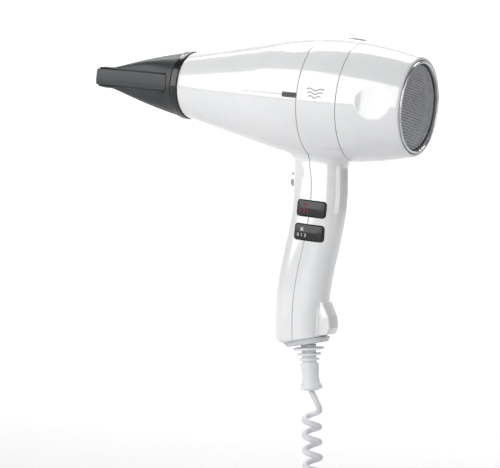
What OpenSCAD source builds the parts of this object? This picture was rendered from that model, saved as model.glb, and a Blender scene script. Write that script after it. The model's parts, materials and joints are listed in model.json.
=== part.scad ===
// Hair dryer: a barrel with a flat nozzle, an S-shaped handle, two rockers, a cool button
// and a curly cord.  Millimetres.  Inside the modules the barrel's axis is the X axis, the
// nozzle is at -X, the first seam is at x = 0 and the handle hangs down -Z.  The module
// placed() moves this to the part's own origin, the middle of the hand grip.

/* [Barrel] */
// Greatest outside diameter of the barrel
barrel_d = 90; // [84:1:100]
// Outside diameter at the front end
front_d = 50.4; // [50:0.2:54]
// Front end to first seam
cone_len = 112.5; // [104:0.5:124]
// First seam to second seam
band_len = 30.5; // [30:0.5:38]
// Second seam to rear edge
cover_len = 44.5; // [43:0.5:52]
// Radius of the long arc that crowns the barrel
crown_arc = 240; // [220:5:300]
// First seam to the fullest place of the barrel
crown_x = 8; // [4:1:14]
// Wall of the front and mid shells
wall = 2.2; // [1.8:0.1:2.4]
// Wall of the rear cover
cover_wall = 3.4; // [3:0.1:3.6]
// Open seam between two shells
seam_gap = 0.2; // [0.1:0.05:0.4]
// Radius of the hollow in each side of the rear cover
dimple_r = 12; // [9:0.5:13]
// Depth of that hollow
dimple_depth = 2.4; // [1.6:0.1:2.4]

/* [Handle] */
// Barrel axis to the bottom of the handle
handle_drop = 178.5; // [170:0.5:190]
// Front to back
handle_depth = 40; // [38:0.5:46]
// Side to side
handle_width = 31; // [30:0.5:34]
// How far the S-bend swings each way
bend_swing = 3.1; // [1:0.1:4]
// Barrel axis to the rearmost place of the bend
bend_top = 78; // [74:1:82]
// From the rearmost to the foremost place of the bend
bend_pitch = 69; // [66:1:74]
// Middle of the swing behind the first seam
bend_mid = 1.5; // [0:0.1:3]
// Fillet between handle and barrel
root_fillet = 6; // [3:0.5:8]
// Slope of the handle's bottom, up to the rear
foot_tilt = 15.7; // [10:0.1:18]
// Rounding of the front lower corner
heel_round = 9; // [5:0.5:10]
// Width of the hanging lug at the heel
lug_width = 16; // [12:0.5:20]
// How far the lug stands out
lug_reach = 7.5; // [5:0.5:9]
// Height of the lug
lug_height = 25; // [20:0.5:28]
// Depth of the band under the handle
collar_height = 4; // [3:0.5:5]

/* [Nozzle] */
// Length of the black collar
collar_len = 6; // [6:0.5:9]
// Outside diameter of the black collar
collar_d = 52.2; // [52:0.2:56]
// Length of the duct in front of the collar
duct_len = 68; // [60:1:80]
// Straight length behind the mouth
mouth_len = 12; // [8:1:16]
// Width of the mouth outside
mouth_width = 48; // [42:1:50]
// Height of the mouth outside
mouth_height = 17; // [14:0.5:20]
// Height of the flat bar along each side
bar_height = 12.4; // [10:0.2:13]
// Wall of the duct
duct_wall = 1.6; // [1.2:0.1:1.8]

/* [Switches] */
// Barrel axis to the middle of the heat rocker
heat_drop = 80.4; // [79:0.2:82]
// Heat rocker to speed rocker
rocker_pitch = 17.4; // [17:0.2:19]
// Length of a rocker
rocker_len = 23.2; // [20:0.2:24]
// Height of a rocker
rocker_height = 11.8; // [10:0.2:12]
// How far a rocker tips each way, in degrees
rocker_tip = 6; // [3:1:6]
// Diameter of the cool button
button_d = 12.9; // [11:0.1:13]
// Barrel axis to the middle of the cool button
button_drop = 61; // [60:0.5:62]
// Travel of the cool button
button_travel = 1.8; // [1:0.1:2]
// Travel of the cover latch
latch_travel = 1.2; // [0.8:0.1:1.2]

/* [Fan and motor] */
// Outside diameter of the fan duct
fan_duct_d = 74; // [70:0.5:75]
// Diameter of the motor can
motor_d = 44; // [40:0.5:46]
// Length of the motor can
motor_len = 46; // [40:1:48]
// Diameter of the motor shaft
shaft_d = 4; // [3:0.5:5]
// Number of fan blades
blade_count = 9; // [7:1:11]
// Fan tip to duct
tip_gap = 0.8; // [0.6:0.1:1.5]

/* [Heater] */
// Outside diameter of the mica sleeve
mica_d = 46.4; // [42:0.2:46.4]
// Length of the heater
heater_len = 58; // [50:1:62]
// Number of heating turns
coil_count = 9; // [5:1:11]

/* [Cord] */
// Diameter of the cord
cord_d = 4.5; // [4:0.1:5]
// Outside diameter of the curl
curl_d = 15.6; // [14:0.2:16]
// Strain relief, from the band to its end
boot_len = 37.5; // [34:0.5:42]
// Pin spacing of the plug
pin_pitch = 19; // [19]
// Pin diameter
pin_d = 4.8; // [4.8]
// Pin length
pin_len = 19; // [19]

/* [Hidden] */
$fn = 96;

// The middle of the grip, the part's origin
grip_place = [3, 0, -105];

// Clearances
fit = 0.05;        // pieces fixed to each other
run = 0.05;        // a shaft in its bore
free = 0.3;        // pieces that move past each other
eps = 0.01;        // thickness of a hull's slices

barrel_r = barrel_d / 2;
front_r = front_d / 2;
front_x = -cone_len;
rear_x = band_len + cover_len;
seam_half = seam_gap / 2;

// The barrel's outline is one long arc with a tangent line in front
crown_c = barrel_r - crown_arc;
to_front = [front_x - crown_x, front_r - crown_c];
tangent_a = atan2(to_front[1], to_front[0]) - acos(crown_arc / norm(to_front));
tangent_x = crown_x + crown_arc * cos(tangent_a);
tangent_r = crown_c + crown_arc * sin(tangent_a);
cone_slope = (tangent_r - front_r) / (tangent_x - front_x);
arc_step = 8;      // length of one piece of the arc

function outline_r(x) = x > tangent_x
    ? crown_c + sqrt(pow(crown_arc, 2) - pow(x - crown_x, 2))
    : front_r + (x - front_x) * cone_slope;

function stations(x0, x1) =
    let (a = max(x0, tangent_x), n = max(1, ceil((x1 - a) / arc_step)))
    concat(x0 < tangent_x ? [x0] : [], x1 > a ? [for (i = [0:n]) a + (x1 - a) * i / n] : [x1]);

function reversed(list) = [for (i = [len(list) - 1:-1:0]) list[i]];

// A quarter arc for a rounded edge, as (radius, station) points
function edge_arc(c, r, a0, a1, n = 5) =
    [for (i = [0:n]) let (a = a0 + (a1 - a0) * i / n) c + r * [cos(a), sin(a)]];

module placed() translate(-grip_place) children();
module about_x() rotate([0, 90, 0]) rotate_extrude() children();
module slab(width) rotate([90, 0, 0]) linear_extrude(width, center = true) children();
module tube_x(x0, x1, ro, ri) about_x() translate([ri, x0]) square([ro - ri, x1 - x0]);
module rod_x(x0, x1, r) translate([x0, 0, 0]) rotate([0, 90, 0]) cylinder(h = x1 - x0, r = r);

function along(route, i) = route[min(i + 1, len(route) - 1)] - route[max(i - 1, 0)];
function ring_points(p, dir, r, n) =
    let (u = dir / norm(dir), across = cross(u, [0, 1, 0]), side = across / norm(across), up = cross(side, u))
    [for (k = [0:n - 1]) let (t = 360 * k / n) p + r * (cos(t) * side + sin(t) * up)];

// A solid with its ends closed, through rings that each have the same number of points
module loft(rings) {
    m = len(rings);
    n = len(rings[0]);
    polyhedron([for (ring = rings) each ring], concat(
        [[for (k = [n - 1:-1:0]) k]],
        [for (i = [0:m - 2], k = [0:n - 1])
            [i * n + (k + 1) % n, (i + 1) * n + (k + 1) % n, (i + 1) * n + k, i * n + k]],
        [[for (k = [0:n - 1]) (m - 1) * n + k]]));
}

// A tube swept along a route that nowhere runs along Y
module swept(route, r, n)
    loft([for (i = [0:len(route) - 1]) ring_points(route[i], along(route, i), r, n)]);

// Ring of the barrel's shape between two stations, from depth a to depth b under the skin
module barrel_ring(x0, x1, a, b) about_x() polygon(concat(
    [for (x = stations(x0, x1)) [outline_r(x) - a, x]],
    [for (x = reversed(stations(x0, x1))) [outline_r(x) - b, x]]));

module barrel_plug(x0, x1, a) about_x() polygon(concat(
    [[0, x0]], [for (x = stations(x0, x1)) [outline_r(x) - a, x]], [[0, x1]]));

// ---- Handle ---------------------------------------------------------------------------

section_power = 2.6;       // 2 is an ellipse, more is squarer
section_points = 40;
section_step = 7;          // drop between two rings of the loft
depth_r = handle_depth / 2;
width_r = handle_width / 2;
root_drop = 30;            // the loft starts inside the barrel
loft_end = handle_drop + 12;
handle_fn = 40;

function grip_x(drop) = bend_mid + bend_swing * cos(180 * (drop - bend_top) / bend_pitch);

function signed_pow(v, p) = sign(v) * pow(abs(v), p);

function section(a, b) = [for (i = [0:section_points - 1])
    let (t = 360 * i / section_points)
    [a * signed_pow(cos(t), 2 / section_power), b * signed_pow(sin(t), 2 / section_power)]];

// How far the fillet widens the handle where the barrel's skin is at drop `skin`,
// rising at `slope` degrees
function fillet(drop, skin, slope) =
    let (start = root_fillet * tan((90 - slope) / 2),
         e = max(drop - skin, start - root_fillet * cos(slope)))
    e < start ? root_fillet - sqrt(pow(root_fillet, 2) - pow(start - e, 2)) : 0;

function side_slope(b) = asin(b / barrel_r);

function handle_ring(drop, inset) =
    let (slope = side_slope(width_r),
         a = depth_r + fillet(drop, barrel_r, 0) - inset,
         b = width_r + fillet(drop, barrel_r * cos(slope), slope) - inset)
    [for (p = section(a, b)) [grip_x(drop) + p[0], p[1], -drop]];

// Rings lie closer together in the fillet
fillet_step = 2.5;
fillet_end = 56;
loft_drops = concat([for (d = [root_drop:fillet_step:fillet_end]) d],
    [for (d = [fillet_end + section_step:section_step:loft_end - 1]) d], [loft_end]);

module handle_loft(inset) loft([for (d = loft_drops) handle_ring(d, inset)]);

// Side view of all that lies above the sloping bottom, its front corner rounded
foot_front = grip_x(handle_drop) - depth_r;
function foot_z(x) = -handle_drop + x * tan(foot_tilt);

module above_foot(inset) slab(2 * barrel_d) offset(r = heel_round, $fn = handle_fn)
    offset(delta = -heel_round - inset) polygon([
        [foot_front, foot_z(foot_front)], [barrel_d, foot_z(barrel_d)], [barrel_d, -root_drop],
        [-barrel_d, -root_drop], [-barrel_d, 18 - handle_drop], [foot_front, 18 - handle_drop]]);

module handle_solid(inset) intersection() {
    handle_loft(inset);
    above_foot(inset);
}

// The side seam: straight round the barrel, then down the middle of the handle
seam_start = 43;
seam_line = concat([[0, barrel_d], [0, 2 - seam_start]],
    [for (d = [seam_start:6:loft_end + 6]) [grip_x(d), -d]]);

module ahead_of_seam() slab(2 * barrel_d) translate([-seam_half, 0])
    polygon(concat(seam_line, [[2 * front_x, -loft_end], [2 * front_x, barrel_d]]));
module behind_seam() slab(2 * barrel_d) translate([seam_half, 0])
    polygon(concat(seam_line, [[barrel_d, -loft_end], [barrel_d, barrel_d]]));

// ---- Places shared by several pieces --------------------------------------------------

spigot_r = 22;
spigot_wall = 1.8;
front_wall = 3;

heat_at = [0, 0, -heat_drop];
speed_at = heat_at - [0, 0, rocker_pitch];
rocker_x = 5.3;            // middle of both rockers
rocker_proud = 0.8;        // the face stands out of the handle
rocker_depth = 5.2;        // from face to underside
pivot_depth = 4.7;         // from face to pivot
face_y = -(width_r + rocker_proud);
pivot_y = face_y + pivot_depth;
rocker_swing_r = norm([rocker_len / 2, pivot_depth]);
pin_r = 0.8;
ear_t = 1.5;
opening_len = 2 * (rocker_swing_r * sin(atan(rocker_len / 2 / pivot_depth) + rocker_tip) + free / 2);

button_r = button_d / 2;
button_proud = 2.5;
button_face_x = grip_x(button_drop) - depth_r - button_proud;
button_back_x = button_face_x + 9;
button_flange = 1.5;

foot_x = 6;                // where the cord leaves the bottom
boot_tilt = 10.5;
module at_boot() translate([foot_x, 0, foot_z(foot_x)]) rotate([0, 180 - boot_tilt, 0]) children();
boot_neck_r = 5.5;

screw_drops = [112, 143];  // the two handle screws
screw_r = 1.4;
screw_head_r = 2.9;
screw_head_t = 2;
screw_boss_r = 4.2;
screw_head_x = 7;          // head's seat, behind the front of the handle
screw_len = 20;

duct_r = fan_duct_d / 2;
duct_wall_t = 1.8;
duct_x = [-35, 44];
ear_x = [19, 22];
duct_screw_r = 1.2;
boss_r = 2.6;
duct_screw_ring = duct_r + 2.7;
duct_screw_angles = [45, 135, 225, 315];

latch_x = [17.5, band_len - 0.8];
latch_half = 7;
latch_proud = 0.7;
latch_t = 1.6;
stem_x = [19.5, 26];
stem_half = 4;

seat_r = [38, 39.6];       // lip of the mid shell that the rear cover slides over
rim_r = 33.4;              // bore of the rear cover behind the filter
rim_x = [rear_x - 5.5, rear_x + 1];
ledge_x = rear_x - 11;

trim_len = 12;
trim_height = 4;
trim_depth = 1.2;
trim_proud = 0.3;
needle_len = 43;

module at_screws() for (d = screw_drops) translate([grip_x(d) - depth_r + screw_head_x, 0, -d])
    rotate([0, 90, 0]) children();

module at_duct_screws() for (a = duct_screw_angles) rotate([a, 0, 0])
    translate([0, 0, duct_screw_ring]) children();

// ---- Casing ---------------------------------------------------------------------------

module casing_outside() {
    barrel_plug(front_x, band_len - seam_half, 0, $fn = 96);
    handle_solid(0);
}

module casing_inside() {
    barrel_plug(front_x + front_wall, band_len + 1, wall, $fn = 72);
    handle_solid(wall);
    rod_x(front_x - 1, front_x + front_wall + 1, spigot_r, $fn = 72);
    at_boot() cylinder(h = 20, r = boot_neck_r + fit, center = true, $fn = 32);
}

module rocker_opening(at) translate(at + [rocker_x, -barrel_r / 2, 0])
    cube([opening_len, barrel_r - 2 * (wall + 4), rocker_height + 2 * free], center = true);

module trim_shape(grow) intersection() {
    barrel_ring(-trim_len - needle_len - 2, -seam_half, -trim_proud, trim_depth + grow);
    slab(4 * barrel_r) offset(delta = grow) {
        translate([-trim_len, -trim_height / 2]) square([trim_len - seam_half - 2 * fit, trim_height]);
        polygon([[-trim_len, -0.8], [-trim_len, 0.8], [-trim_len - needle_len, 0.2],
            [-trim_len - needle_len, -0.2]]);
    }
}

// resize() to nothing changes no size: it keeps the shell, whose loft is facets, as one mesh
module one_mesh() resize([0, 0, 0]) children();

module front_shell() color("white") placed() one_mesh() difference() {
    union() {
        intersection() {
            difference() {
                casing_outside();
                casing_inside();
            }
            ahead_of_seam();
        }
        intersection() {
            at_screws() translate([0, 0, -screw_head_x]) cylinder(h = 30, r = screw_boss_r, $fn = 32);
            handle_solid(wall / 2);
            ahead_of_seam();
        }
    }
    at_screws() {
        translate([0, 0, -screw_head_x - 2]) cylinder(h = screw_head_x + 2, r = screw_head_r + fit, $fn = 32);
        cylinder(h = screw_len, r = screw_r + fit, $fn = 24);
    }
    rocker_opening(heat_at);
    rocker_opening(speed_at);
    translate([0, 0, -button_drop]) rod_x(button_face_x - 5, button_back_x, button_r + free, $fn = 48);
    trim_shape(fit);
}

lug_top = handle_drop - 6.5 - lug_height;
lug_x = grip_x(lug_top + lug_height / 2) + depth_r;
lug_round = 1.5;

module heel_lug() slab(lug_width) translate([lug_x, -lug_top]) offset(r = lug_round, $fn = handle_fn)
    offset(delta = -lug_round) polygon([
        [-9, 0], [-0.5, 0], [0.75 * lug_reach, -0.42 * lug_height], [lug_reach, -0.75 * lug_height],
        [0.8 * lug_reach, -0.95 * lug_height], [0.05 * lug_reach, -lug_height], [-9, -lug_height]]);

module mid_shell() color("white") placed() one_mesh() difference() {
    union() {
        intersection() {
            difference() {
                union() {
                    casing_outside();
                    heel_lug();
                }
                casing_inside();
            }
            behind_seam();
        }
        intersection() {
            at_screws() cylinder(h = 40, r = screw_boss_r, $fn = 32);
            handle_solid(wall / 2);
            behind_seam();
        }
        about_x($fn = 72) polygon([
            [seat_r[0], band_len - 3], [outline_r(band_len) - wall / 2, band_len - 3],
            [outline_r(band_len) - wall / 2, band_len - seam_half], [seat_r[1], band_len - seam_half],
            [seat_r[1], band_len + 4.5], [seat_r[0], band_len + 4.5]]);
        intersection() {
            at_duct_screws() {
                rod_x(ear_x[0] - 11, ear_x[0] - fit, boss_r, $fn = 24);
                translate([ear_x[0] - 11, -boss_r, 0]) cube([11 - fit, 2 * boss_r, 6]);
            }
            barrel_plug(0, band_len, wall / 2);
        }
    }
    at_screws() cylinder(h = screw_len, r = screw_r, $fn = 24);
    at_duct_screws() rod_x(ear_x[0] - 9, ear_x[0], duct_screw_r, $fn = 24);
    rocker_opening(heat_at);
    rocker_opening(speed_at);
    translate([latch_x[0] - free, -latch_half - free, barrel_r - 12])
        cube([latch_x[1] - latch_x[0] + 2 * free, 2 * (latch_half + free), 20]);
}

edge_r = 1.4;              // rounding of the cover's rear edge
cover_edge_r = outline_r(rear_x) - edge_r;
dimple_ball_r = (pow(dimple_r, 2) + pow(dimple_depth, 2)) / (2 * dimple_depth) * 1.75;
dimple_x = rear_x - 18.5;

module rear_cover() color("white") placed() difference() {
    about_x($fn = 96) polygon(concat(
        [for (x = stations(band_len + seam_half, rear_x - edge_r)) [outline_r(x), x]],
        edge_arc([cover_edge_r, rear_x - edge_r], edge_r, 15, 90),
        [[rim_r, rear_x], [rim_r, ledge_x], [outline_r(ledge_x) - cover_wall, ledge_x]],
        [for (x = reversed(stations(band_len + seam_half, ledge_x - 2))) [outline_r(x) - cover_wall, x]]));
    for (side = [-1, 1]) translate([dimple_x, side * (outline_r(dimple_x) + dimple_ball_r - dimple_depth), 0])
        sphere(r = dimple_ball_r);
}

// Band under the handle that the strain relief stands in
module bottom_band() color("gainsboro") placed() difference() {
    intersection() {
        translate([foot_x - 1.2, 0, foot_z(foot_x - 1.2)]) rotate([0, -foot_tilt, 0])
            translate([0, 0, -collar_height])
            linear_extrude(collar_height - fit, scale = [1.13, 1.1], slices = 1)
            polygon(section(15.8, width_r - 3.2));
        slab(barrel_d) polygon([[-60, foot_z(-60) - fit], [60, foot_z(60) - fit], [60, -250], [-60, -250]]);
    }
    at_boot() cylinder(h = 30, r = boot_neck_r + fit, center = true);
}

module trim_bars() color("dimgray") placed() trim_shape(0);

module handle_screws() color("silver") placed() at_screws() {
    difference() {
        translate([0, 0, -screw_head_t]) cylinder(h = screw_head_t, r = screw_head_r);
        for (a = [0, 90]) rotate([0, 0, a]) translate([-1.8, -0.4, -screw_head_t - 1]) cube([3.6, 0.8, 2]);
    }
    cylinder(h = screw_len - 1, r = screw_r);
}

// ---- Rear intake ----------------------------------------------------------------------

rim_wall = 2.2;
mesh_r = rim_r - rim_wall - fit;
mesh_dome = 2.2;
mesh_x = rear_x - 3.6;
mesh_t = 0.8;
mesh_pitch = 5.5;

module intake_rim() color("silver") placed() about_x() polygon(concat(
    [[rim_r - fit, rim_x[0]]],
    edge_arc([rim_r - rim_wall / 2, rim_x[1] - rim_wall / 2], rim_wall / 2 - fit, 0, 180, 8),
    [[rim_r - rim_wall, rim_x[0]]]));

module intake_mesh() color("gray") placed() intersection() {
    about_x() {
        ball_r = (pow(mesh_r, 2) + pow(mesh_dome, 2)) / (2 * mesh_dome);
        dome = [for (i = [0:6]) let (r = mesh_r * i / 6)
            [r, mesh_x + mesh_dome - ball_r + sqrt(pow(ball_r, 2) - r * r)]];
        polygon(concat(dome, [for (p = reversed(dome)) p - [0, mesh_t]]));
    }
    union() {
        tube_x(mesh_x - 5, mesh_x + 5, mesh_r + 1, mesh_r - 1.2);
        for (i = [-5:5]) {
            translate([mesh_x, 0, i * mesh_pitch]) cube([10, 2 * mesh_r, 1], center = true);
            translate([mesh_x, i * mesh_pitch, 0]) cube([10, 1, 2 * mesh_r], center = true);
        }
    }
}

filter_r = outline_r(ledge_x) - cover_wall - 0.4;
filter_t = 4;

module filter_frame() color("black") placed() {
    tube_x(ledge_x - filter_t, ledge_x - fit, filter_r, filter_r - 2.5);
    for (a = [0, 60, 120]) rotate([a, 0, 0]) translate([ledge_x - filter_t - 1.2, -filter_r + 0.2, -0.8])
        cube([1.2, 2 * filter_r - 0.4, 1.6]);
    tube_x(ledge_x - filter_t - 1.2, ledge_x - filter_t, filter_r, filter_r - 2.5);
}

module filter_foam() color("dimgray") placed()
    rod_x(ledge_x - filter_t + fit, ledge_x - fit, filter_r - 2.5 - fit);

module cover_latch() color("darkgray") placed() {
    intersection() {
        barrel_ring(latch_x[0], latch_x[1], -latch_proud, latch_t);
        translate([0, -latch_half, 0]) cube([barrel_r, 2 * latch_half, 2 * barrel_r]);
    }
    translate([stem_x[0], -stem_half, duct_r + latch_travel + 0.6])
        cube([stem_x[1] - stem_x[0], 2 * stem_half, barrel_r - duct_r - latch_travel - 2.2]);
}

// Leaf spring between the fan duct and the latch's stem
module latch_spring() color("silver") placed() slab(5) translate([stem_x[0], duct_r])
    polygon([[0, 0.1], [2.9, latch_travel + 0.5], [3.6, latch_travel + 0.5], [6.5, 0.1], [5.9, 0.1],
        [3.25, latch_travel], [0.6, 0.1]]);

// ---- Outlet and nozzle ----------------------------------------------------------------

spigot_x = [front_x - 11, front_x + 9];

module outlet_spigot() color("black") placed() {
    tube_x(spigot_x[0], spigot_x[1], spigot_r - fit, spigot_r - spigot_wall);
    tube_x(front_x + front_wall + fit, front_x + front_wall + 2, spigot_r + 1.2, spigot_r - spigot_wall);
}

grid_rings = [5, 10, 15];
grid_t = 2;

module outlet_grid() color("black") placed() {
    x0 = spigot_x[0] + 2;
    for (r = grid_rings) tube_x(x0, x0 + grid_t, r + 0.5, r - 0.5);
    for (a = [0:60:300]) rotate([a, 0, 0]) translate([x0, -0.6, grid_rings[0]])
        cube([grid_t, 1.2, spigot_r - spigot_wall - 1.6 - grid_rings[0]]);
    tube_x(x0, x0 + grid_t, spigot_r - spigot_wall - fit, spigot_r - spigot_wall - 2);
}

collar_r = collar_d / 2;
collar_x = [front_x - collar_len, front_x - 0.1];
neck_r = 24;
neck_len = 4.2;
bead = 0.6;
duct_back_x = collar_x[0] - 0.3;
slide_r = spigot_r + free;

module nozzle_collar() color("black") placed() about_x() polygon([
    [slide_r, collar_x[1]], [collar_r - 0.6, collar_x[1]], [collar_r, collar_x[1] - 0.6],
    [collar_r, collar_x[0] + 0.6], [collar_r - 0.6, collar_x[0]],
    [neck_r + free, collar_x[0]], [neck_r + free, collar_x[0] + 1.4],
    [neck_r + free + bead, collar_x[0] + 1.6], [neck_r + free + bead, collar_x[0] + 3],
    [neck_r + free, collar_x[0] + 3.2], [neck_r + free, collar_x[0] + neck_len + free],
    [slide_r, collar_x[0] + neck_len + free]]);

duct_front_x = front_x - collar_len - duct_len;
duct_cone_r = collar_r - 0.9;

// The duct's outside or, inset by its wall, its inside
module duct_form(inset) {
    back = duct_back_x + inset * 0.02;
    mouth_back = duct_front_x + mouth_len;
    hull() {
        translate([back - eps, 0, 0]) rod_x(0, eps, duct_cone_r - inset, $fn = 64);
        duct_slot(mouth_back, inset);
    }
    hull() {
        duct_slot(mouth_back, inset);
        duct_slot(duct_front_x - (inset > 0 ? 1 : 0), inset);
    }
}

module duct_slot(x, inset) translate([x, 0, 0]) rotate([0, 90, 0]) linear_extrude(eps)
    offset(r = 4, $fn = 32) square([mouth_height - 2 * inset - 8, mouth_width - 2 * inset - 8], center = true);

bar_half = duct_cone_r + 0.3;
lip_round = 5;
rib = 0.9;

// Side view that rounds the mouth's upper and lower corners
module duct_side_view() slab(3 * mouth_width) offset(r = lip_round, $fn = 40) offset(delta = -lip_round)
    polygon([[duct_front_x, -mouth_height / 2], [duct_front_x + mouth_len, -mouth_height / 2],
        [duct_front_x + mouth_len, -collar_r - 9], [duct_back_x + 20, -collar_r - 9],
        [duct_back_x + 20, collar_r + 9], [duct_front_x + mouth_len, collar_r + 9],
        [duct_front_x + mouth_len, mouth_height / 2], [duct_front_x, mouth_height / 2]]);

module nozzle_duct() color("darkslategray") placed() {
    difference() {
        intersection() {
            union() {
                duct_form(0);
                translate([duct_front_x, -bar_half, -bar_height / 2])
                    cube([duct_len - 4, 2 * bar_half, bar_height]);
                for (side = [-1, 1])
                    translate([duct_front_x + 2, -bar_half - 0.4, side * bar_height / 2 - rib / 2])
                    cube([duct_len - 6, 2 * (bar_half + 0.4), rib]);
            }
            duct_side_view();
        }
        duct_form(duct_wall);
        rod_x(duct_back_x - 0.5, duct_back_x + 1, duct_cone_r - duct_wall);
    }
    tube_x(duct_back_x - 1.2, collar_x[0] + neck_len, neck_r, slide_r);
    tube_x(collar_x[0] + 1.9, collar_x[0] + 2.7, neck_r + bead - 0.1, neck_r - 0.5);
}

// ---- Heater ---------------------------------------------------------------------------

heater_x = [front_x + 10.5, front_x + 10.5 + heater_len];
mica_r = mica_d / 2;
mica_t = 0.8;
coil_r = 19.5;
coil_wire = 1;
tab_len = 4;

module mica_sleeve() color("tan") placed() tube_x(heater_x[0], heater_x[1], mica_r, mica_r - 0.6);

module mica_cross() color("wheat") placed() for (a = [0, 90]) rotate([a, 0, 0]) {
    half = mica_r - 0.6 - fit;
    translate([heater_x[0], -mica_t / 2, -coil_r]) cube([heater_len, mica_t, 2 * coil_r]);
    for (x = [heater_x[0], heater_x[1] - tab_len]) translate([x, -mica_t / 2, -half])
        cube([tab_len, mica_t, 2 * half]);
}

coil_pitch = (heater_len - 2 * tab_len - 4) / (coil_count - 1);

module heating_coils() color("peru") placed() for (i = [0:coil_count - 1])
    about_x() translate([coil_r + fit + coil_wire / 2, heater_x[0] + tab_len + 2 + i * coil_pitch])
        circle(d = coil_wire, $fn = 16);

module thermostat() color("gray") placed() translate([heater_x[1] - 18, mica_t / 2, mica_t / 2]) {
    cube([10, 7, 3.5]);
    translate([5, 3.5, 3.5]) cylinder(h = 1.6, r = 3);
}

module thermal_fuse() color("white") placed() translate([0, -4, -4]) {
    rod_x(heater_x[1] - 20, heater_x[1] - 9, 1.6);
    rod_x(heater_x[1] - 26, heater_x[1] - 3, 0.4, $fn = 16);
}

// ---- Fan and motor --------------------------------------------------------------------

motor_r = motor_d / 2;
motor_x = [-34, motor_len - 34];
cup_wall = 1.5;
vane_count = 7;
can_wall = 1;
end_wall = 1.5;
bearing_r = 4;
shaft_r = shaft_d / 2;

module fan_duct() color("darkgray") placed() {
    difference() {
        union() {
            tube_x(duct_x[0], duct_x[1], duct_r, duct_r - duct_wall_t);
            intersection() {
                tube_x(ear_x[0], ear_x[1], outline_r(ear_x[0]) - wall - 0.5, duct_r - 0.5);
                for (a = duct_screw_angles) rotate([a, 0, 0]) translate([ear_x[0] - 1, -4, 0])
                    cube([5, 8, barrel_r]);
            }
        }
        at_duct_screws() rod_x(ear_x[0] - 1, ear_x[1] + 1, duct_screw_r + 0.2, $fn = 32);
    }
    tube_x(motor_x[0], motor_x[1] + 1, motor_r + fit + cup_wall, motor_r + fit);
    for (i = [0:vane_count - 1]) rotate([i * 360 / vane_count + 8, 0, 0])
        translate([motor_x[0] + 4, -0.7, motor_r + cup_wall - 0.3])
        cube([22, 1.4, duct_r - duct_wall_t - motor_r - cup_wall + 0.8]);
}

module duct_screws() color("silver") placed() at_duct_screws() {
    rod_x(ear_x[0] - 8, ear_x[1] + 0.5, duct_screw_r, $fn = 32);
    rod_x(ear_x[1] + fit, ear_x[1] + 1.8, 2.2, $fn = 32);
}

module motor_can() color("silver") placed() difference() {
    rod_x(motor_x[0], motor_x[1], motor_r);
    rod_x(motor_x[0] + end_wall, motor_x[1] - end_wall, motor_r - can_wall);
    rod_x(motor_x[0] - 1, motor_x[1] + 1, bearing_r + fit);
    for (i = [0:5]) rotate([i * 60 + 30, 0, 0]) translate([0, 0, motor_r * 0.6])
        rod_x(motor_x[0] - 1, motor_x[0] + 2, 3, $fn = 32);
}

module motor_bearings() color("goldenrod") placed() for (x = [motor_x[0] - 1, motor_x[1] - 4])
    tube_x(x, x + 5, bearing_r, shaft_r + run);

module motor_stator() color("brown") placed()
    tube_x(motor_x[0] + 6, motor_x[1] - 12, motor_r - can_wall - fit, motor_r - 4.6);

brush_x = motor_x[1] - 8;
commutator_r = 7;

module motor_brushes() color("dimgray") placed() for (a = [0, 180]) rotate([a, 0, 0])
    translate([brush_x - 2, -2, commutator_r + free])
    cube([4, 4, motor_r - can_wall - commutator_r - free - 0.4]);

module motor_armature() color("peru") placed() difference() {
    union() {
        rod_x(motor_x[0] + 8, motor_x[1] - 14, motor_r - 5.4);
        rod_x(motor_x[1] - 14, motor_x[1] - 5.5, commutator_r);
    }
    rod_x(motor_x[0], motor_x[1], shaft_r + fit);
    for (i = [0:11]) rotate([i * 30, 0, 0]) translate([motor_x[0] + 7, -1, motor_r - 9])
        cube([motor_x[1] - motor_x[0] - 21, 2, 9]);
}

module motor_shaft() color("lightgray") placed() rod_x(motor_x[0] - 4, motor_x[1] + 25, shaft_r);

fan_x = [motor_x[1] + 5, motor_x[1] + 24];
hub_r = 13;
fan_r = duct_r - duct_wall_t - tip_gap;
blade_angle = 38;
blade_t = 1.2;

module fan_impeller() color("black") placed() difference() {
    union() {
        rod_x(fan_x[0], fan_x[1], hub_r);
        intersection() {
            rod_x(fan_x[0], fan_x[1], fan_r);
            for (i = [0:blade_count - 1]) rotate([i * 360 / blade_count, 0, 0])
                translate([(fan_x[0] + fan_x[1]) / 2, 0, hub_r - 2]) rotate([0, 0, blade_angle])
                translate([-14, -blade_t / 2, 0]) cube([28, blade_t, fan_r - hub_r + 4]);
        }
    }
    rod_x(fan_x[0] - 1, fan_x[1] + 1, shaft_r + fit);
}

// ---- Switches -------------------------------------------------------------------------

switch_len = 24;
switch_y = [pivot_y + 3.4, 4];
ear_in = rocker_height / 2 + 0.2;
ear_half = 2.2;

module switch_body(at) translate(at + [rocker_x, 0, 0]) difference() {
    union() {
        translate([-switch_len / 2, switch_y[0], -ear_in])
            cube([switch_len, switch_y[1] - switch_y[0], 2 * ear_in]);
        for (side = [-1, 1]) translate([-ear_half, pivot_y - 1.35, side > 0 ? ear_in : -ear_in - ear_t])
            cube([2 * ear_half, switch_y[0] - pivot_y + 3, ear_t]);
    }
    translate([0, pivot_y, 0]) cylinder(h = 60, r = pin_r + fit, center = true, $fn = 32);
}

module heat_switch() color("dimgray") placed() switch_body(heat_at);
module speed_switch() color("dimgray") placed() switch_body(speed_at);

// A rocker follows the handle's side and ends on an arc about its pivot
module rocker(at) translate(at) difference() {
    intersection() {
        translate([grip_x(-at[2]), 0, -rocker_height / 2]) linear_extrude(rocker_height)
            polygon(section(depth_r + rocker_proud, width_r + rocker_proud));
        translate([rocker_x, pivot_y, 0]) cylinder(h = 20, r = rocker_swing_r, center = true);
        translate([rocker_x - rocker_len / 2, face_y - 1, -10]) cube([rocker_len, rocker_depth + 1.8, 20]);
    }
    translate([rocker_x, pivot_y, 0]) cylinder(h = 30, r = pin_r + run, center = true, $fn = 32);
}

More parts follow.
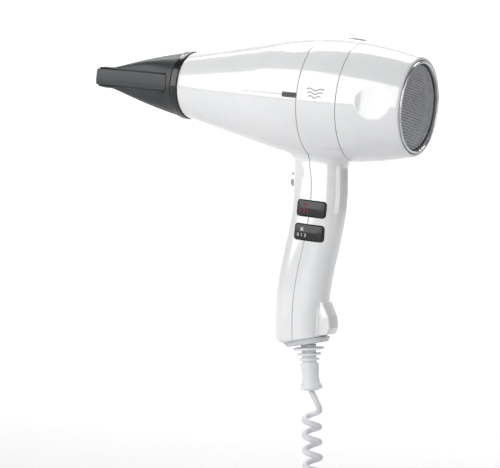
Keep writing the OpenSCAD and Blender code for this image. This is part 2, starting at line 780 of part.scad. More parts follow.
module heat_rocker() color("#202022") placed() rocker(heat_at);
module speed_rocker() color("#202022") placed() rocker(speed_at);

module rocker_pins() color("silver") placed() for (at = [heat_at, speed_at])
    translate(at + [rocker_x, pivot_y, 0])
        cylinder(h = 2 * (ear_in + ear_t), r = pin_r, center = true, $fn = 32);

module cool_button() color("gainsboro") placed() translate([0, 0, -button_drop]) about_x() polygon(concat(
    [[0, button_face_x]], edge_arc([button_r - 1, button_face_x + 1], 1, -90, 0),
    [[button_r, button_back_x - button_flange], [button_r + 0.9, button_back_x - button_flange],
     [button_r + 0.9, button_back_x], [3.2, button_back_x], [3.2, button_back_x - 5],
     [0, button_back_x - 5]]));

button_switch_x = button_back_x + button_travel + 1.6;
spring_wire = 0.6;
spring_turns = 6;

// The coil spring, as the rings of its turns
module button_spring() color("silver") placed() translate([0, 0, -button_drop]) {
    x0 = button_back_x - 5 + fit;
    step = (button_switch_x - x0 - spring_wire - fit) / (spring_turns - 1);
    for (i = [0:spring_turns - 1]) about_x() translate([2.4, x0 + spring_wire / 2 + i * step])
        circle(d = spring_wire, $fn = 16);
}

module button_switch() color("dimgray") placed() translate([button_switch_x, -4, -button_drop - 5])
    cube([10, 8, 10]);

// ---- Cord entry -----------------------------------------------------------------------

clamp_w = -15;             // middle of the clamp, along the strain relief's axis
clamp_size = [9, 15, 6];

module cord_clamp() color("dimgray") placed() at_boot() translate([0, 0, clamp_w]) difference() {
    cube(clamp_size, center = true);
    cylinder(h = 20, r = cord_d / 2 + fit, center = true);
    for (side = [-1, 1]) translate([0, side * 5, 0]) rotate([0, 90, 0])
        cylinder(h = 20, r = 1.1 + fit, center = true, $fn = 32);
}

module clamp_screws() color("silver") placed() at_boot() for (side = [-1, 1])
    translate([clamp_size[0] / 2, side * 5, clamp_w]) rotate([0, 90, 0]) {
        translate([0, 0, -clamp_size[0]]) cylinder(h = clamp_size[0], r = 1.1, $fn = 32);
        translate([0, 0, fit]) cylinder(h = 1.5, r = 2, $fn = 32);
    }

core_top = clamp_w - 6;
boot_dir = [sin(boot_tilt), 0, -cos(boot_tilt)];
function on_boot(w) = [foot_x, 0, foot_z(foot_x)] + w * boot_dir;
boot_end = collar_height + boot_len - 3.5;
lead_r = 0.9;

module cord_core() color("gainsboro") placed() at_boot() translate([0, 0, core_top])
    cylinder(h = boot_end - core_top, r = cord_d / 2);

lead_x = 1;
lead_y = 6.5;              // beside the screw bosses

// Two wires from the cord to the speed switch: one ends under it, the other on its side
module supply_leads() color("brown") placed() for (side = [-1, 1]) swept(concat(
    [on_boot(core_top - 0.1) + [0, side * 1.2, 0],
     on_boot(core_top - 5) + [0, side * 4, 0],
     [lead_x, side * lead_y, -screw_drops[1] - screw_boss_r - 1]],
    side < 0 ? [[lead_x, -lead_y, speed_at[2] - ear_in - 0.1]]
    : [[lead_x, lead_y, speed_at[2] - 4], [lead_x, lead_y - 0.5, speed_at[2] - 1.5],
       [lead_x, lead_y - 1.4, speed_at[2] - 0.3], [lead_x, switch_y[1] + 0.1, speed_at[2]]]), lead_r, 8);

heater_lead_r = 0.7;
lead_ring = duct_r + 1.1;

module heater_leads() color("white") placed() for (side = [-1, 1]) swept([
    [8, side * 5.2, -heat_drop + ear_in + 0.1],
    [8, side * 5.2, -lead_ring - 5],
    [6, side * 5.2, -lead_ring - 1],
    [2, side * 5.2, -lead_ring],
    [duct_x[0], side * 5.2, -lead_ring + 0.3],
    [duct_x[0] - 3, side * 5.2, -lead_ring + 1.2],
    [heater_x[1] + 0.4, side * 5.2, -mica_r + 1.5]], heater_lead_r, 8);

// Radii of the strain relief's rings and sleeve, with their places down its axis
boot_rings = [[11.7, 7.2], [9.3, 11.4], [7.8, 15.2]];
ring_t = 2;
sleeve = [[7.1, 18.6], [6.5, 24], [6.4, 28.5], [7, 32], [8.5, 34.5], [8.6, 36]];

module strain_relief() color("whitesmoke") placed() at_boot() rotate_extrude() polygon(concat(
    [[cord_d / 2 + fit, -5.5], [8, -5.5], [8, -3.4], [boot_neck_r, -3.4]],
    [for (ring = boot_rings) each [[boot_neck_r, ring[1] - ring_t / 2], [ring[0] - 0.3, ring[1] - ring_t / 2],
        [ring[0], ring[1]], [ring[0] - 0.3, ring[1] + ring_t / 2], [boot_neck_r, ring[1] + ring_t / 2]]],
    [[boot_neck_r, sleeve[0][1] - 0.6], [sleeve[0][0] - 0.5, sleeve[0][1] - 0.6]], sleeve,
    [[7.6, boot_end - 0.4], [5, boot_end], [cord_d / 2 + fit, boot_end]]));

// ---- Free cord ------------------------------------------------------------------------

// Routes, in the barrel's frame.  The curl hangs, folds up once and the tail folds down.
cord_lead_route = [[13.2, 0, -214.4], [14.0, 0, -217.5], [15.6, 0, -221], [17.4, 0, -224]];
cord_curl_route = [[14, 0, -225], [16, 0, -238], [18, 0, -253], [20.3, 0, -268], [22, 0, -284], [23, 0, -300],
    [23, 0, -320], [23, 0, -350], [23, 0, -391], [22, 0, -396.4], [18.9, 0, -400.9], [14.4, 0, -403.9],
    [9, 0, -405], [3.6, 0, -403.9], [-0.9, 0, -400.9], [-4, 0, -396.4], [-5, 0, -391], [-5, 0, -350],
    [-5, 0, -318]];
cord_tail_route = [[-5, 0, -317.9], [-5, 0, -314], [-6.1, 0, -308.6], [-9.1, 0, -304.1], [-13.6, 0, -301.1],
    [-19, 0, -300], [-24.4, 0, -301.1], [-28.9, 0, -304.1], [-31.9, 0, -308.6], [-33, 0, -314], [-33, 0, -322]];

module cord_lead() color("gainsboro") placed() swept(cord_lead_route, cord_d / 2, 10);
module cord_curl() color("gainsboro") placed() swept(cord_curl_route, curl_d / 2, 12);
module cord_tail() color("gainsboro") placed() swept(cord_tail_route, cord_d / 2, 10);

curl_x = [cord_curl_route[len(cord_curl_route) - 1][0], 23];
plug_x = -33;
tie_z = -352;
tie_r = curl_d / 2 + 0.6;

module stadium(r) {
    for (x = [plug_x, curl_x[1]]) translate([x, 0]) circle(r = r);
    translate([plug_x, -r]) square([curl_x[1] - plug_x, 2 * r]);
}

module cord_tie() color("dimgray") placed() translate([0, 0, tie_z]) linear_extrude(14) difference() {
    stadium(tie_r + 1.2);
    stadium(tie_r);
}

relief_z = [-322, -356];
plug_len = 36;
plug_size = [14, 36];
pin_tip = 1;
shank_r = pin_d / 2 - 0.4;

module plug_relief() color("gainsboro") placed() translate([plug_x, 0, 0]) rotate_extrude() polygon([
    [0, relief_z[0]], [3.2, relief_z[0]], [3.6, relief_z[0] - 2], [5.2, relief_z[1]], [0, relief_z[1]]]);

module plug_body() color("gainsboro") placed() translate([plug_x, 0, relief_z[1] - plug_len]) difference() {
    intersection() {
        linear_extrude(plug_len - fit) {
            square([plug_size[0], plug_size[1] - plug_size[0]], center = true);
            for (side = [-1, 1])
                translate([0, side * (plug_size[1] - plug_size[0]) / 2]) circle(d = plug_size[0]);
        }
        rotate([0, -90, 0]) linear_extrude(plug_size[0] + 2, center = true) polygon([
            [0, -18], [16, -18], [30, -9], [plug_len, -7], [plug_len, 7], [30, 9], [16, 18], [0, 18]]);
    }
    for (side = [-1, 1]) translate([0, side * pin_pitch / 2, -1]) cylinder(h = 13, r = shank_r + fit);
}

module plug_pins() color("silver") placed() for (side = [-1, 1])
    translate([plug_x, side * pin_pitch / 2, relief_z[1] - plug_len - pin_len]) {
        cylinder(h = pin_tip, r1 = pin_d / 2 - 0.8, r2 = pin_d / 2);
        translate([0, 0, pin_tip]) cylinder(h = pin_len - 2 * pin_tip, r = pin_d / 2);
        translate([0, 0, pin_tip]) cylinder(h = pin_len + 10, r = shank_r);
    }

front_shell();
mid_shell();
rear_cover();
bottom_band();
trim_bars();
handle_screws();
intake_rim();
intake_mesh();
filter_frame();
filter_foam();
cover_latch();
latch_spring();
outlet_spigot();
outlet_grid();
nozzle_collar();
nozzle_duct();
mica_sleeve();
mica_cross();
heating_coils();
thermostat();
thermal_fuse();
fan_duct();
duct_screws();
motor_can();
motor_bearings();
motor_stator();
motor_brushes();
motor_armature();
motor_shaft();
fan_impeller();
heat_switch();
speed_switch();
heat_rocker();
speed_rocker();
rocker_pins();
cool_button();
button_spring();
button_switch();
cord_clamp();
clamp_screws();
supply_leads();
heater_leads();
strain_relief();
cord_core();
cord_lead();
cord_curl();
cord_tail();
cord_tie();
plug_body();
plug_pins();
plug_relief();
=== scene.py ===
import json
from math import acos, asin, atan2, cos, hypot, log, exp, pi, radians, sin, sqrt, tan

import bmesh
import bpy
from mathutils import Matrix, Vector


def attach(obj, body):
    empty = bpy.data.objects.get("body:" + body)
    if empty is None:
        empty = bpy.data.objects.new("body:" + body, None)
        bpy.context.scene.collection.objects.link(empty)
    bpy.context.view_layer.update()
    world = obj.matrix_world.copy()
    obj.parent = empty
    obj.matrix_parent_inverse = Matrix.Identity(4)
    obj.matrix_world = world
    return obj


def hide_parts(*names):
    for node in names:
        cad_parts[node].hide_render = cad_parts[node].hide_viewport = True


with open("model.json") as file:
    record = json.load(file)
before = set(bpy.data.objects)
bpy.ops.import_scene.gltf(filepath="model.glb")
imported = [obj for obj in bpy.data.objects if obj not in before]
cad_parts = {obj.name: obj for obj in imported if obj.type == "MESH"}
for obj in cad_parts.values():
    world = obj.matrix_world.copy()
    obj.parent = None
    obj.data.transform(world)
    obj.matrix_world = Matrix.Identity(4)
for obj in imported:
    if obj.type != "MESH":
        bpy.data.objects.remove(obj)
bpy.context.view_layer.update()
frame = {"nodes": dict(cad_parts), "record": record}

# Sizes are in millimetres in the barrel's frame, as in the CAD source: the barrel's axis is X,
# the first seam is at x = 0 and the handle hangs down -Z.  put() gives the part's own frame in metres.
GRIP = Vector((3, 0, -105))


def put(point):
    return (Vector(point) - GRIP) / 1000


def into_scene(name, data):
    made = bpy.data.objects.new(name, data)
    bpy.context.scene.collection.objects.link(made)
    return made


# ---- Camera and light ----

CAMERA_AT = (0.54749, -1.07227, 0.10187)
CAMERA_AZIMUTH, CAMERA_ELEVATION, CAMERA_ROLL = 29.31, 4.80, 5.61
LENS, SENSOR_WIDTH, CLIP_START = 118.4, 36, 0.01


def make_camera():
    """The camera at its place and angles.  Gives the way from the object back towards it."""
    azimuth, elevation, roll = map(radians, (CAMERA_AZIMUTH, CAMERA_ELEVATION, CAMERA_ROLL))
    back = Vector((sin(azimuth) * cos(elevation), -cos(azimuth) * cos(elevation), sin(elevation)))
    level = Vector((0, 0, 1)).cross(back).normalized()
    above = back.cross(level)
    right = cos(roll) * level + sin(roll) * above
    up = cos(roll) * above - sin(roll) * level
    data = bpy.data.cameras.new("camera")
    data.lens = LENS
    data.sensor_width = SENSOR_WIDTH
    data.clip_start = CLIP_START
    camera = into_scene("camera", data)
    turn = camera.matrix_world.copy()
    for i in range(3):
        turn[i][0], turn[i][1], turn[i][2], turn[i][3] = right[i], up[i], back[i], CAMERA_AT[i]
    camera.matrix_world = turn
    bpy.context.scene.camera = camera
    return back


camera_back = make_camera()


# ---- Materials ----

COAT_ROUGHNESS = 0.05
NOISE_SPAN, TINT_STOPS = (0.3, 0.7), (0.35, 0.65)  # the part of the noise's values that counts
PLASTIC_CLOUDS, PLASTIC_GLOSS, PLASTIC_DIM, LOWEST_ROUGHNESS = 60, 300, 0.97, 0.03
METAL_CLOUDS, METAL_DIM, METAL_SPREAD = 150, 0.9, 0.3
CLOTH_ROUGHNESS, CLOTH_DIM, CLOTH_DEPTH = 0.9, 0.6, 0.5


def new_material(name, colour, roughness, metallic=0.0, coat=0.0, coat_ior=1.5, specular=0.5):
    made = bpy.data.materials.new(name)
    made.use_nodes = True
    shader = made.node_tree.nodes["Principled BSDF"]
    sockets = {"Base Color": (*colour, 1), "Roughness": roughness, "Metallic": metallic, "Coat Weight": coat,
               "Coat Roughness": COAT_ROUGHNESS, "Coat IOR": coat_ior, "Specular IOR Level": specular}
    for socket, value in sockets.items():
        shader.inputs[socket].default_value = value
    return made, made.node_tree, shader


def noise(tree, scale, detail=3.0, stretch=(1, 1, 1)):
    place = tree.nodes.new("ShaderNodeTexCoord")
    mapping = tree.nodes.new("ShaderNodeMapping")
    mapping.inputs["Scale"].default_value = stretch
    texture = tree.nodes.new("ShaderNodeTexNoise")
    texture.inputs["Scale"].default_value = scale
    texture.inputs["Detail"].default_value = detail
    tree.links.new(place.outputs["Object"], mapping.inputs["Vector"])
    tree.links.new(mapping.outputs["Vector"], texture.inputs["Vector"])
    return texture.outputs["Fac"]


def bump(tree, shader, height, distance):
    node = tree.nodes.new("ShaderNodeBump")
    node.inputs["Strength"].default_value = 1.0
    node.inputs["Distance"].default_value = distance
    tree.links.new(height, node.inputs["Height"])
    tree.links.new(node.outputs["Normal"], shader.inputs["Normal"])


def vary(tree, shader, socket, source, low, high):
    """A noise moves one of the shader's sockets between low and high."""
    node = tree.nodes.new("ShaderNodeMapRange")
    for end, value in zip(("From Min", "From Max", "To Min", "To Max"), (*NOISE_SPAN, low, high)):
        node.inputs[end].default_value = value
    tree.links.new(source, node.inputs["Value"])
    tree.links.new(node.outputs["Result"], shader.inputs[socket])


def tint(tree, shader, source, first, second):
    """A noise moves the base colour between two colours."""
    node = tree.nodes.new("ShaderNodeValToRGB")
    for element, stop, colour in zip(node.color_ramp.elements, TINT_STOPS, (first, second)):
        element.position = stop
        element.color = (*colour, 1)
    tree.links.new(source, node.inputs["Fac"])
    tree.links.new(node.outputs["Color"], shader.inputs["Base Color"])


def shade(colour, factor):
    return tuple(c * factor for c in colour)


def plastic(name, colour, roughness, coat=0.0, grain=2500, depth=0.00002, spread=0.04, coat_ior=1.5):
    """Moulded plastic: fine grain, faintly uneven gloss and colour."""
    made, tree, shader = new_material(name, colour, roughness, coat=coat, coat_ior=coat_ior)
    tint(tree, shader, noise(tree, PLASTIC_CLOUDS), shade(colour, PLASTIC_DIM), colour)
    vary(tree, shader, "Roughness", noise(tree, PLASTIC_GLOSS), max(LOWEST_ROUGHNESS, roughness - spread),
         roughness + spread)
    bump(tree, shader, noise(tree, grain, 2.0), depth)
    return made


def metal(name, colour, roughness, grain=900, stretch=(1, 1, 1), depth=0.00001):
    """Metal with a fine grain, which stretch draws out into a brushed one."""
    made, tree, shader = new_material(name, colour, roughness, metallic=1.0)
    tint(tree, shader, noise(tree, METAL_CLOUDS, stretch=stretch), shade(colour, METAL_DIM), colour)
    vary(tree, shader, "Roughness", noise(tree, grain, stretch=stretch),
         roughness * (1 - METAL_SPREAD), roughness * (1 + METAL_SPREAD))
    bump(tree, shader, noise(tree, grain, stretch=stretch), depth)
    return made


def cloth(name, colour, thread):
    """Woven or foamed stuff: cells of the given size in metres."""
    made, tree, shader = new_material(name, colour, CLOTH_ROUGHNESS)
    cells = tree.nodes.new("ShaderNodeTexVoronoi")
    cells.inputs["Scale"].default_value = 1 / thread
    place = tree.nodes.new("ShaderNodeTexCoord")
    tree.links.new(place.outputs["Object"], cells.inputs["Vector"])
    tint(tree, shader, cells.outputs["Distance"], shade(colour, CLOTH_DIM), colour)
    bump(tree, shader, cells.outputs["Distance"], thread * CLOTH_DEPTH)
    return made


WHITE = (0.80, 0.805, 0.81)
look = {
    "white_shell": plastic("shell_white", WHITE, 0.2, coat=1.0, grain=700, depth=0.000003, spread=0.03,
                           coat_ior=1.8),
    "grey_plastic": plastic("band_grey", (0.62, 0.63, 0.65), 0.3),
    "trim_dark": plastic("trim_dark", (0.035, 0.037, 0.042), 0.25, coat=0.3),
    "steel": metal("steel", (0.62, 0.63, 0.65), 0.3, stretch=(1, 6, 1)),
    "chrome_rim": metal("chrome", (0.86, 0.87, 0.89), 0.07, depth=0.000002),
    "steel_mesh": metal("mesh_wire", (0.78, 0.79, 0.81), 0.3, grain=6000),
    "black_plastic": plastic("black_matte", (0.018, 0.018, 0.02), 0.5),
    "foam": cloth("foam", (0.02, 0.02, 0.022), 0.0009),
    "latch_grey": plastic("latch_grey", (0.3, 0.31, 0.33), 0.35),
    "collar_black": plastic("collar_black", (0.006, 0.006, 0.007), 0.22, coat=0.5),
    "nozzle_anthracite": plastic("anthracite", (0.03, 0.034, 0.037), 0.38, coat=0.1, grain=4500,
                                 depth=0.00003),
    "mica": plastic("mica", (0.62, 0.5, 0.33), 0.4, grain=400),
    "heater_wire": metal("heater_wire", (0.5, 0.4, 0.32), 0.4),
    "white_ceramic": plastic("ceramic", (0.8, 0.78, 0.72), 0.3),
    "grey_inner": plastic("inner_grey", (0.22, 0.23, 0.25), 0.5),
    "bronze": metal("bronze", (0.6, 0.42, 0.22), 0.35),
    "copper": metal("copper", (0.72, 0.36, 0.2), 0.35, grain=3000, stretch=(4, 1, 1)),
    "rocker_dark": plastic("rocker_dark", (0.008, 0.0085, 0.0095), 0.3, coat=0.25, depth=0.000005),
    "button_silver": metal("button_silver", (0.5, 0.51, 0.53), 0.2, depth=0.000003),
    "lead_brown": plastic("lead_brown", (0.2, 0.09, 0.04), 0.45),
    "lead_white": plastic("lead_white", (0.75, 0.75, 0.73), 0.45),
    "boot_white": plastic("boot_rubber", (0.76, 0.77, 0.785), 0.42, grain=3500, depth=0.00003),
    "cord_white": plastic("cord_white", (0.70, 0.70, 0.725), 0.4, grain=3000, depth=0.00003),
    "tie_fabric": cloth("tie_fabric", (0.16, 0.165, 0.18), 0.0006),
    "plug_white": plastic("plug_white", (0.74, 0.75, 0.76), 0.3),
    "pin_metal": metal("pin_metal", (0.74, 0.71, 0.64), 0.2, stretch=(1, 1, 8)),
}
mark_red = plastic("mark_red", (0.42, 0.03, 0.035), 0.4)
mark_white = plastic("mark_white", (0.8, 0.8, 0.8), 0.4)
mark_grey = plastic("mark_grey", (0.16, 0.165, 0.18), 0.35)

for entry in frame["record"]["subparts"]:
    node = frame["nodes"][entry["node"]]
    node.data.materials.clear()
    node.data.materials.append(look[entry["material_slot"]])


# ---- Mesh tools ----

SHARP_ANGLE = 38


def neighbours(rows, along):
    """Each row with the next one, and the last with the first where they run around."""
    return list(zip(rows, rows[1:])) + ([(rows[-1], rows[0])] if along else [])


class Shape:
    """Points and faces of one piece, in millimetres in the barrel's frame."""

    def __init__(self):
        self.points, self.faces = [], []

    def add(self, point):
        self.points.append(tuple(point))
        return len(self.points) - 1

    def skin(self, rows, along=False, caps=False):
        """Faces between rows of points: closed around each row, and from the last row to the first."""
        ids = [[self.add(p) for p in row] for row in rows]
        n = len(ids[0])
        for low, high in neighbours(ids, along):
            for k in range(n):
                m = (k + 1) % n
                self.faces.append((low[k], low[m], high[m], high[k]))
        if caps:
            self.faces.append(tuple(reversed(ids[0])))
            self.faces.append(tuple(ids[-1]))

    def turned(self, profile, place, n=96, along=True):
        """A profile of (station, radius) points turned about an axis; place(station, u, v) gives the point.
        A radius of 0 is a pole."""
        rings = []
        for a, r in profile:
            turns = [2 * pi * k / n for k in range(n)] if r else [0]
            rings.append([self.add(place(a, r * cos(t), r * sin(t))) for t in turns])
        for low, high in neighbours(rings, along):
            if len(low) == 1 and len(high) == 1:
                continue
            for k in range(n):
                m = (k + 1) % n
                if len(low) == 1:
                    self.faces.append((low[0], high[m], high[k]))
                elif len(high) == 1:
                    self.faces.append((low[k], low[m], high[0]))
                else:
                    self.faces.append((low[k], low[m], high[m], high[k]))

    def tube(self, route, radius, sides):
        """A tube with closed ends, swept along a route without twist."""
        route = [Vector(p) for p in route]
        heading = (route[1] - route[0]).normalized()
        side = heading.orthogonal().normalized()
        rows = []
        for i, p in enumerate(route):
            ahead = (route[min(i + 1, len(route) - 1)] - route[max(i - 1, 0)]).normalized()
            side = (side - ahead * side.dot(ahead)).normalized()
            other = ahead.cross(side)
            rows.append([p + radius * (cos(2 * pi * k / sides) * side + sin(2 * pi * k / sides) * other)
                         for k in range(sides)])
        self.skin(rows, caps=True)

    def mesh(self, name):
        """The shape as a mesh in the part's own frame, with its faces turned outward."""
        mesh = bpy.data.meshes.new(name)
        mesh.from_pydata([put(p) for p in self.points], [], self.faces)
        work = bmesh.new()
        work.from_mesh(mesh)
        bmesh.ops.recalc_face_normals(work, faces=work.faces)
        work.to_mesh(mesh)
        work.free()
        return mesh

    def piece(self, name, body, slot, stands_for=(), material=None, sharp=SHARP_ANGLE):
        """The shape as a finished piece that rides on a body and stands for CAD nodes."""
        mesh = self.mesh(name)
        finish_mesh(mesh, sharp)
        mesh.materials.append(material or look[slot])
        made = into_scene(name, mesh)
        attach(made, body)
        if stands_for:
            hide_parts(*stands_for)
        return made


def finish_mesh(mesh, sharp):
    mesh.polygons.foreach_set("use_smooth", [True] * len(mesh.polygons))
    mesh.set_sharp_from_angle(angle=radians(sharp))


CORNER_SHARE = 0.49  # the most of a side that the rounding of one corner may take


def rounded(corners, closed=True, steps=5):
    """A polygon of (x, y, radius) corners with each corner rounded by its radius."""
    out = []
    n = len(corners)
    for i, (x, y, r) in enumerate(corners):
        here = Vector((x, y))
        if r <= 0 or (not closed and i in (0, n - 1)):
            out.append((x, y))
            continue
        before = (Vector(corners[i - 1][:2]) - here)
        after = (Vector(corners[(i + 1) % n][:2]) - here)
        reach = min(before.length, after.length) * CORNER_SHARE
        before.normalize()
        after.normalize()
        half = acos(max(-1, min(1, before.dot(after)))) / 2
        taken = min(r / tan(half), reach)
        r = taken * tan(half)
        centre = here + (before + after).normalized() * r / sin(half)
        first = here + before * taken - centre
        last = here + after * taken - centre
        sweep = atan2(first.x * last.y - first.y * last.x, first.dot(last))
        for k in range(steps + 1):
            a = sweep * k / steps
            out.append((centre.x + first.x * cos(a) - first.y * sin(a),
                        centre.y + first.x * sin(a) + first.y * cos(a)))
    return out


def panel(x0, x1, y0, y1, r0=0, r1=None, steps=5):
    """A rectangle with its corners rounded by r0 at x0 and by r1 at x1."""
    r1 = r0 if r1 is None else r1
    return rounded([(x0, y0, r0), (x1, y0, r1), (x1, y1, r1), (x0, y1, r0)], steps=steps)


def finer(loop, step):
    """A loop with its long sides divided, so that a bend in the surface below has points to follow."""
    out = []
    for a, b in zip(loop, loop[1:] + loop[:1]):
        n = max(1, int(hypot(b[0] - a[0], b[1] - a[1]) / step))
        out += [(a[0] + (b[0] - a[0]) * i / n, a[1] + (b[1] - a[1]) * i / n) for i in range(n)]
    return out


def shrunk(loop, e):
    """A closed loop moved inward by e along its corners' normals; the loop runs anticlockwise."""
    out = []
    n = len(loop)
    for i, p in enumerate(loop):
        a, b = Vector(loop[i - 1]), Vector(loop[(i + 1) % n])
        ahead = (b - a).normalized()
        out.append((p[0] - ahead.y * e, p[1] + ahead.x * e))
    return out


def spread(a, b, n):
    return [a + (b - a) * i / n for i in range(n + 1)]


def smooth_step(a, b, x):
    t = max(0.0, min(1.0, (x - a) / (b - a)))
    return t * t * (3 - 2 * t)


def as_is(x, y, z):
    return x, y, z


def bezier(p0, p1, p2, p3, s):
    return (1 - s) ** 3 * p0 + 3 * s * (1 - s) ** 2 * p1 + 3 * s * s * (1 - s) * p2 + s ** 3 * p3


def slab(shape, loop, low, high, place=as_is):
    """A closed loop pushed straight from low to high."""
    shape.skin([[place(p[0], p[1], w) for p in loop] for w in (low, high)], caps=True)


def turned_piece(name, body, slot, stands_for, corners, n, steps=5, place=as_is, closed=True,
                 sharp=SHARP_ANGLE):
    """A piece turned from (station, radius, rounding) corners, which start and end on the axis if not closed."""
    shape = Shape()
    shape.turned(rounded(corners, closed, steps), place, n, closed)
    return shape.piece(name, body, slot, stands_for, sharp=sharp)


def prism(shape, loop, place, low, high, edge, steps=3):
    """A closed loop (anticlockwise) pushed from low to high along the third axis, with rounded edges."""
    layers = []
    for i in range(steps + 1):
        a = pi / 2 * i / steps
        layers.append((edge * (1 - sin(a)), low + edge * (1 - cos(a))))
    layers += [(e, high - (w - low)) for e, w in reversed(layers)]
    shape.skin([[place(p[0], p[1], w) for p in shrunk(loop, e)] for e, w in layers], caps=True)


# ---- The casing's formulas, as in the CAD source ----

BARREL_R, FRONT_R, FRONT_X, BAND_LEN, REAR_X = 45.0, 25.2, -112.5, 30.5, 75.0
CROWN_ARC, CROWN_X, WALL, COVER_WALL = 240.0, 8.0, 2.2, 3.4
crown_c = BARREL_R - CROWN_ARC
to_front = (FRONT_X - CROWN_X, FRONT_R - crown_c)
tangent_a = atan2(to_front[1], to_front[0]) - acos(CROWN_ARC / hypot(*to_front))
tangent_x = CROWN_X + CROWN_ARC * cos(tangent_a)
tangent_r = crown_c + CROWN_ARC * sin(tangent_a)
cone_slope = (tangent_r - FRONT_R) / (tangent_x - FRONT_X)


def outline_r(x):
    if x > tangent_x:
        return crown_c + sqrt(CROWN_ARC ** 2 - (x - CROWN_X) ** 2)
    return FRONT_R + (x - FRONT_X) * cone_slope


def skin_line(x0, x1, inset, step=2.5):
    n = max(1, int(abs(x1 - x0) / step))
    return [(x, outline_r(x) - inset, 0) for x in spread(x0, x1, n)]


HANDLE_DROP, DEPTH_R, WIDTH_R, FOOT_TILT = 178.5, 20.0, 15.5, radians(15.7)
BEND_MID, BEND_SWING, BEND_TOP, BEND_PITCH = 1.5, 3.1, 78.0, 69.0
SECTION_POWER, ROOT_FILLET = 2.6, 6.0
SEAM_HALF, SEAM_ROUND = 0.1, 0.35


def grip_x(drop):
    return BEND_MID + BEND_SWING * cos(pi * (drop - BEND_TOP) / BEND_PITCH)


def foot_z(x):
    return -HANDLE_DROP + x * tan(FOOT_TILT)


def signed_pow(v, p):
    return abs(v) ** p * (1 if v >= 0 else -1)


def section(t, a, b, power=SECTION_POWER):
    return a * signed_pow(cos(t), 2 / power), b * signed_pow(sin(t), 2 / power)


def section_normal(t, a, b):
    x, y = section(t, a, b)
    nx = signed_pow(x / a, SECTION_POWER - 1) / a
    ny = signed_pow(y / b, SECTION_POWER - 1) / b
    size = hypot(nx, ny)
    return nx / size, ny / size


def handle_point(t, drop, inset=0.0):
    x, y = section(t, DEPTH_R - inset, WIDTH_R - inset)
    return Vector((grip_x(drop) + x, y, -drop))


def skin_drop(x, y):
    """How far below the barrel's axis its skin lies over the point (x, y)."""
    return sqrt(max(1.0, outline_r(x) ** 2 - y * y))


SEAM_TURN_LOW, SEAM_TURN_HIGH = 60.0, 41.0


def ease_seam(point, t):
    """Near the barrel the handle's side seam runs over to the barrel's seam at x = 0."""
    drop = -point.z
    left = 1 - smooth_step(SEAM_TURN_HIGH, SEAM_TURN_LOW, drop)
    return Vector((point.x - grip_x(drop) * left * abs(sin(t)) ** 6, point.y, point.z))


BOTTOM_ROWS, WALL_ROWS, FILLET_ROWS = 6, 60, 10
FRONT_ROUND, EDGE_ROUND = 9.0, 1.6
FOOT_PASSES, SKIN_PASSES = 4, 3
PROBE, WALL_PROBE, LAND_PROBE = 0.1, 0.5, 0.3  # short steps along which a slope is measured
ARC_PULL = 0.5523  # how far a cubic curve is pulled to follow a quarter circle
TUCK = 1.2         # how deep the handle's skin ends under the barrel's


def foot_round(t):
    """Radius of the handle's lower edge at angle t: large in front, small elsewhere."""
    return EDGE_ROUND + (FRONT_ROUND - EDGE_ROUND) * max(0.0, -cos(t)) ** 2


def under_barrel(x, y):
    """The point of the barrel's underside at (x, y)."""
    point = Vector((x, y, 0))
    point.z = -skin_drop(point.x, point.y)
    return point


def handle_column(t, inset):
    """The points of the handle's skin at angle t from the bottom up to the barrel, and inset by a wall."""
    nx, ny = section_normal(t, DEPTH_R, WIDTH_R)
    foot = HANDLE_DROP
    for _ in range(FOOT_PASSES):
        foot = -foot_z(handle_point(t, foot).x)
    edge = foot_round(t)
    column = []
    for i in range(BOTTOM_ROWS):
        a = pi / 2 * (1 - i / BOTTOM_ROWS)
        column.append(handle_point(t, foot - edge * (1 - sin(a)), inset + edge * (1 - cos(a))))
    base = handle_point(t, BARREL_R)
    skin = skin_drop(base.x, base.y)
    for _ in range(SKIN_PASSES):
        base = handle_point(t, skin)
        skin = skin_drop(base.x, base.y)
    fall = (skin_drop(base.x + nx * PROBE, base.y + ny * PROBE) - skin) / PROBE
    slope = -atan2(fall, 1)
    reach = ROOT_FILLET * tan((pi / 2 - slope) / 2)
    start = skin + reach
    column += [handle_point(t, d, inset) for d in spread(foot - edge, start, WALL_ROWS)]
    wall_end = handle_point(t, start)
    wall_way = (handle_point(t, start - WALL_PROBE) - wall_end).normalized()
    out = reach * cos(slope)
    land = under_barrel(base.x + nx * out, base.y + ny * out)
    before = under_barrel(base.x + nx * (out - LAND_PROBE), base.y + ny * (out - LAND_PROBE))
    land_way = (land - before).normalized()
    pull = ARC_PULL * reach
    bend = (wall_end, wall_end + wall_way * pull, land - land_way * pull, land)
    for i in range(1, FILLET_ROWS + 1):
        p = bezier(*bend, i / FILLET_ROWS)
        column.append(p if inset == 0 else handle_point(t, -p.z, inset))
    tuck = (outline_r(land.x) - TUCK) / outline_r(land.x)
    last = Vector((land.x, land.y * tuck, land.z * tuck))
    column.append(last if inset == 0 else handle_point(t, -last.z, inset))
    return [ease_seam(p, t) for p in column]


SEAM_EDGE, SEAM_MARGIN, HALF_STEPS = 0.3, radians(0.35), 72
FLOOR_FREE, FLOOR_LIFT, FLOOR_STRIDE = 0.3, 0.05, 3


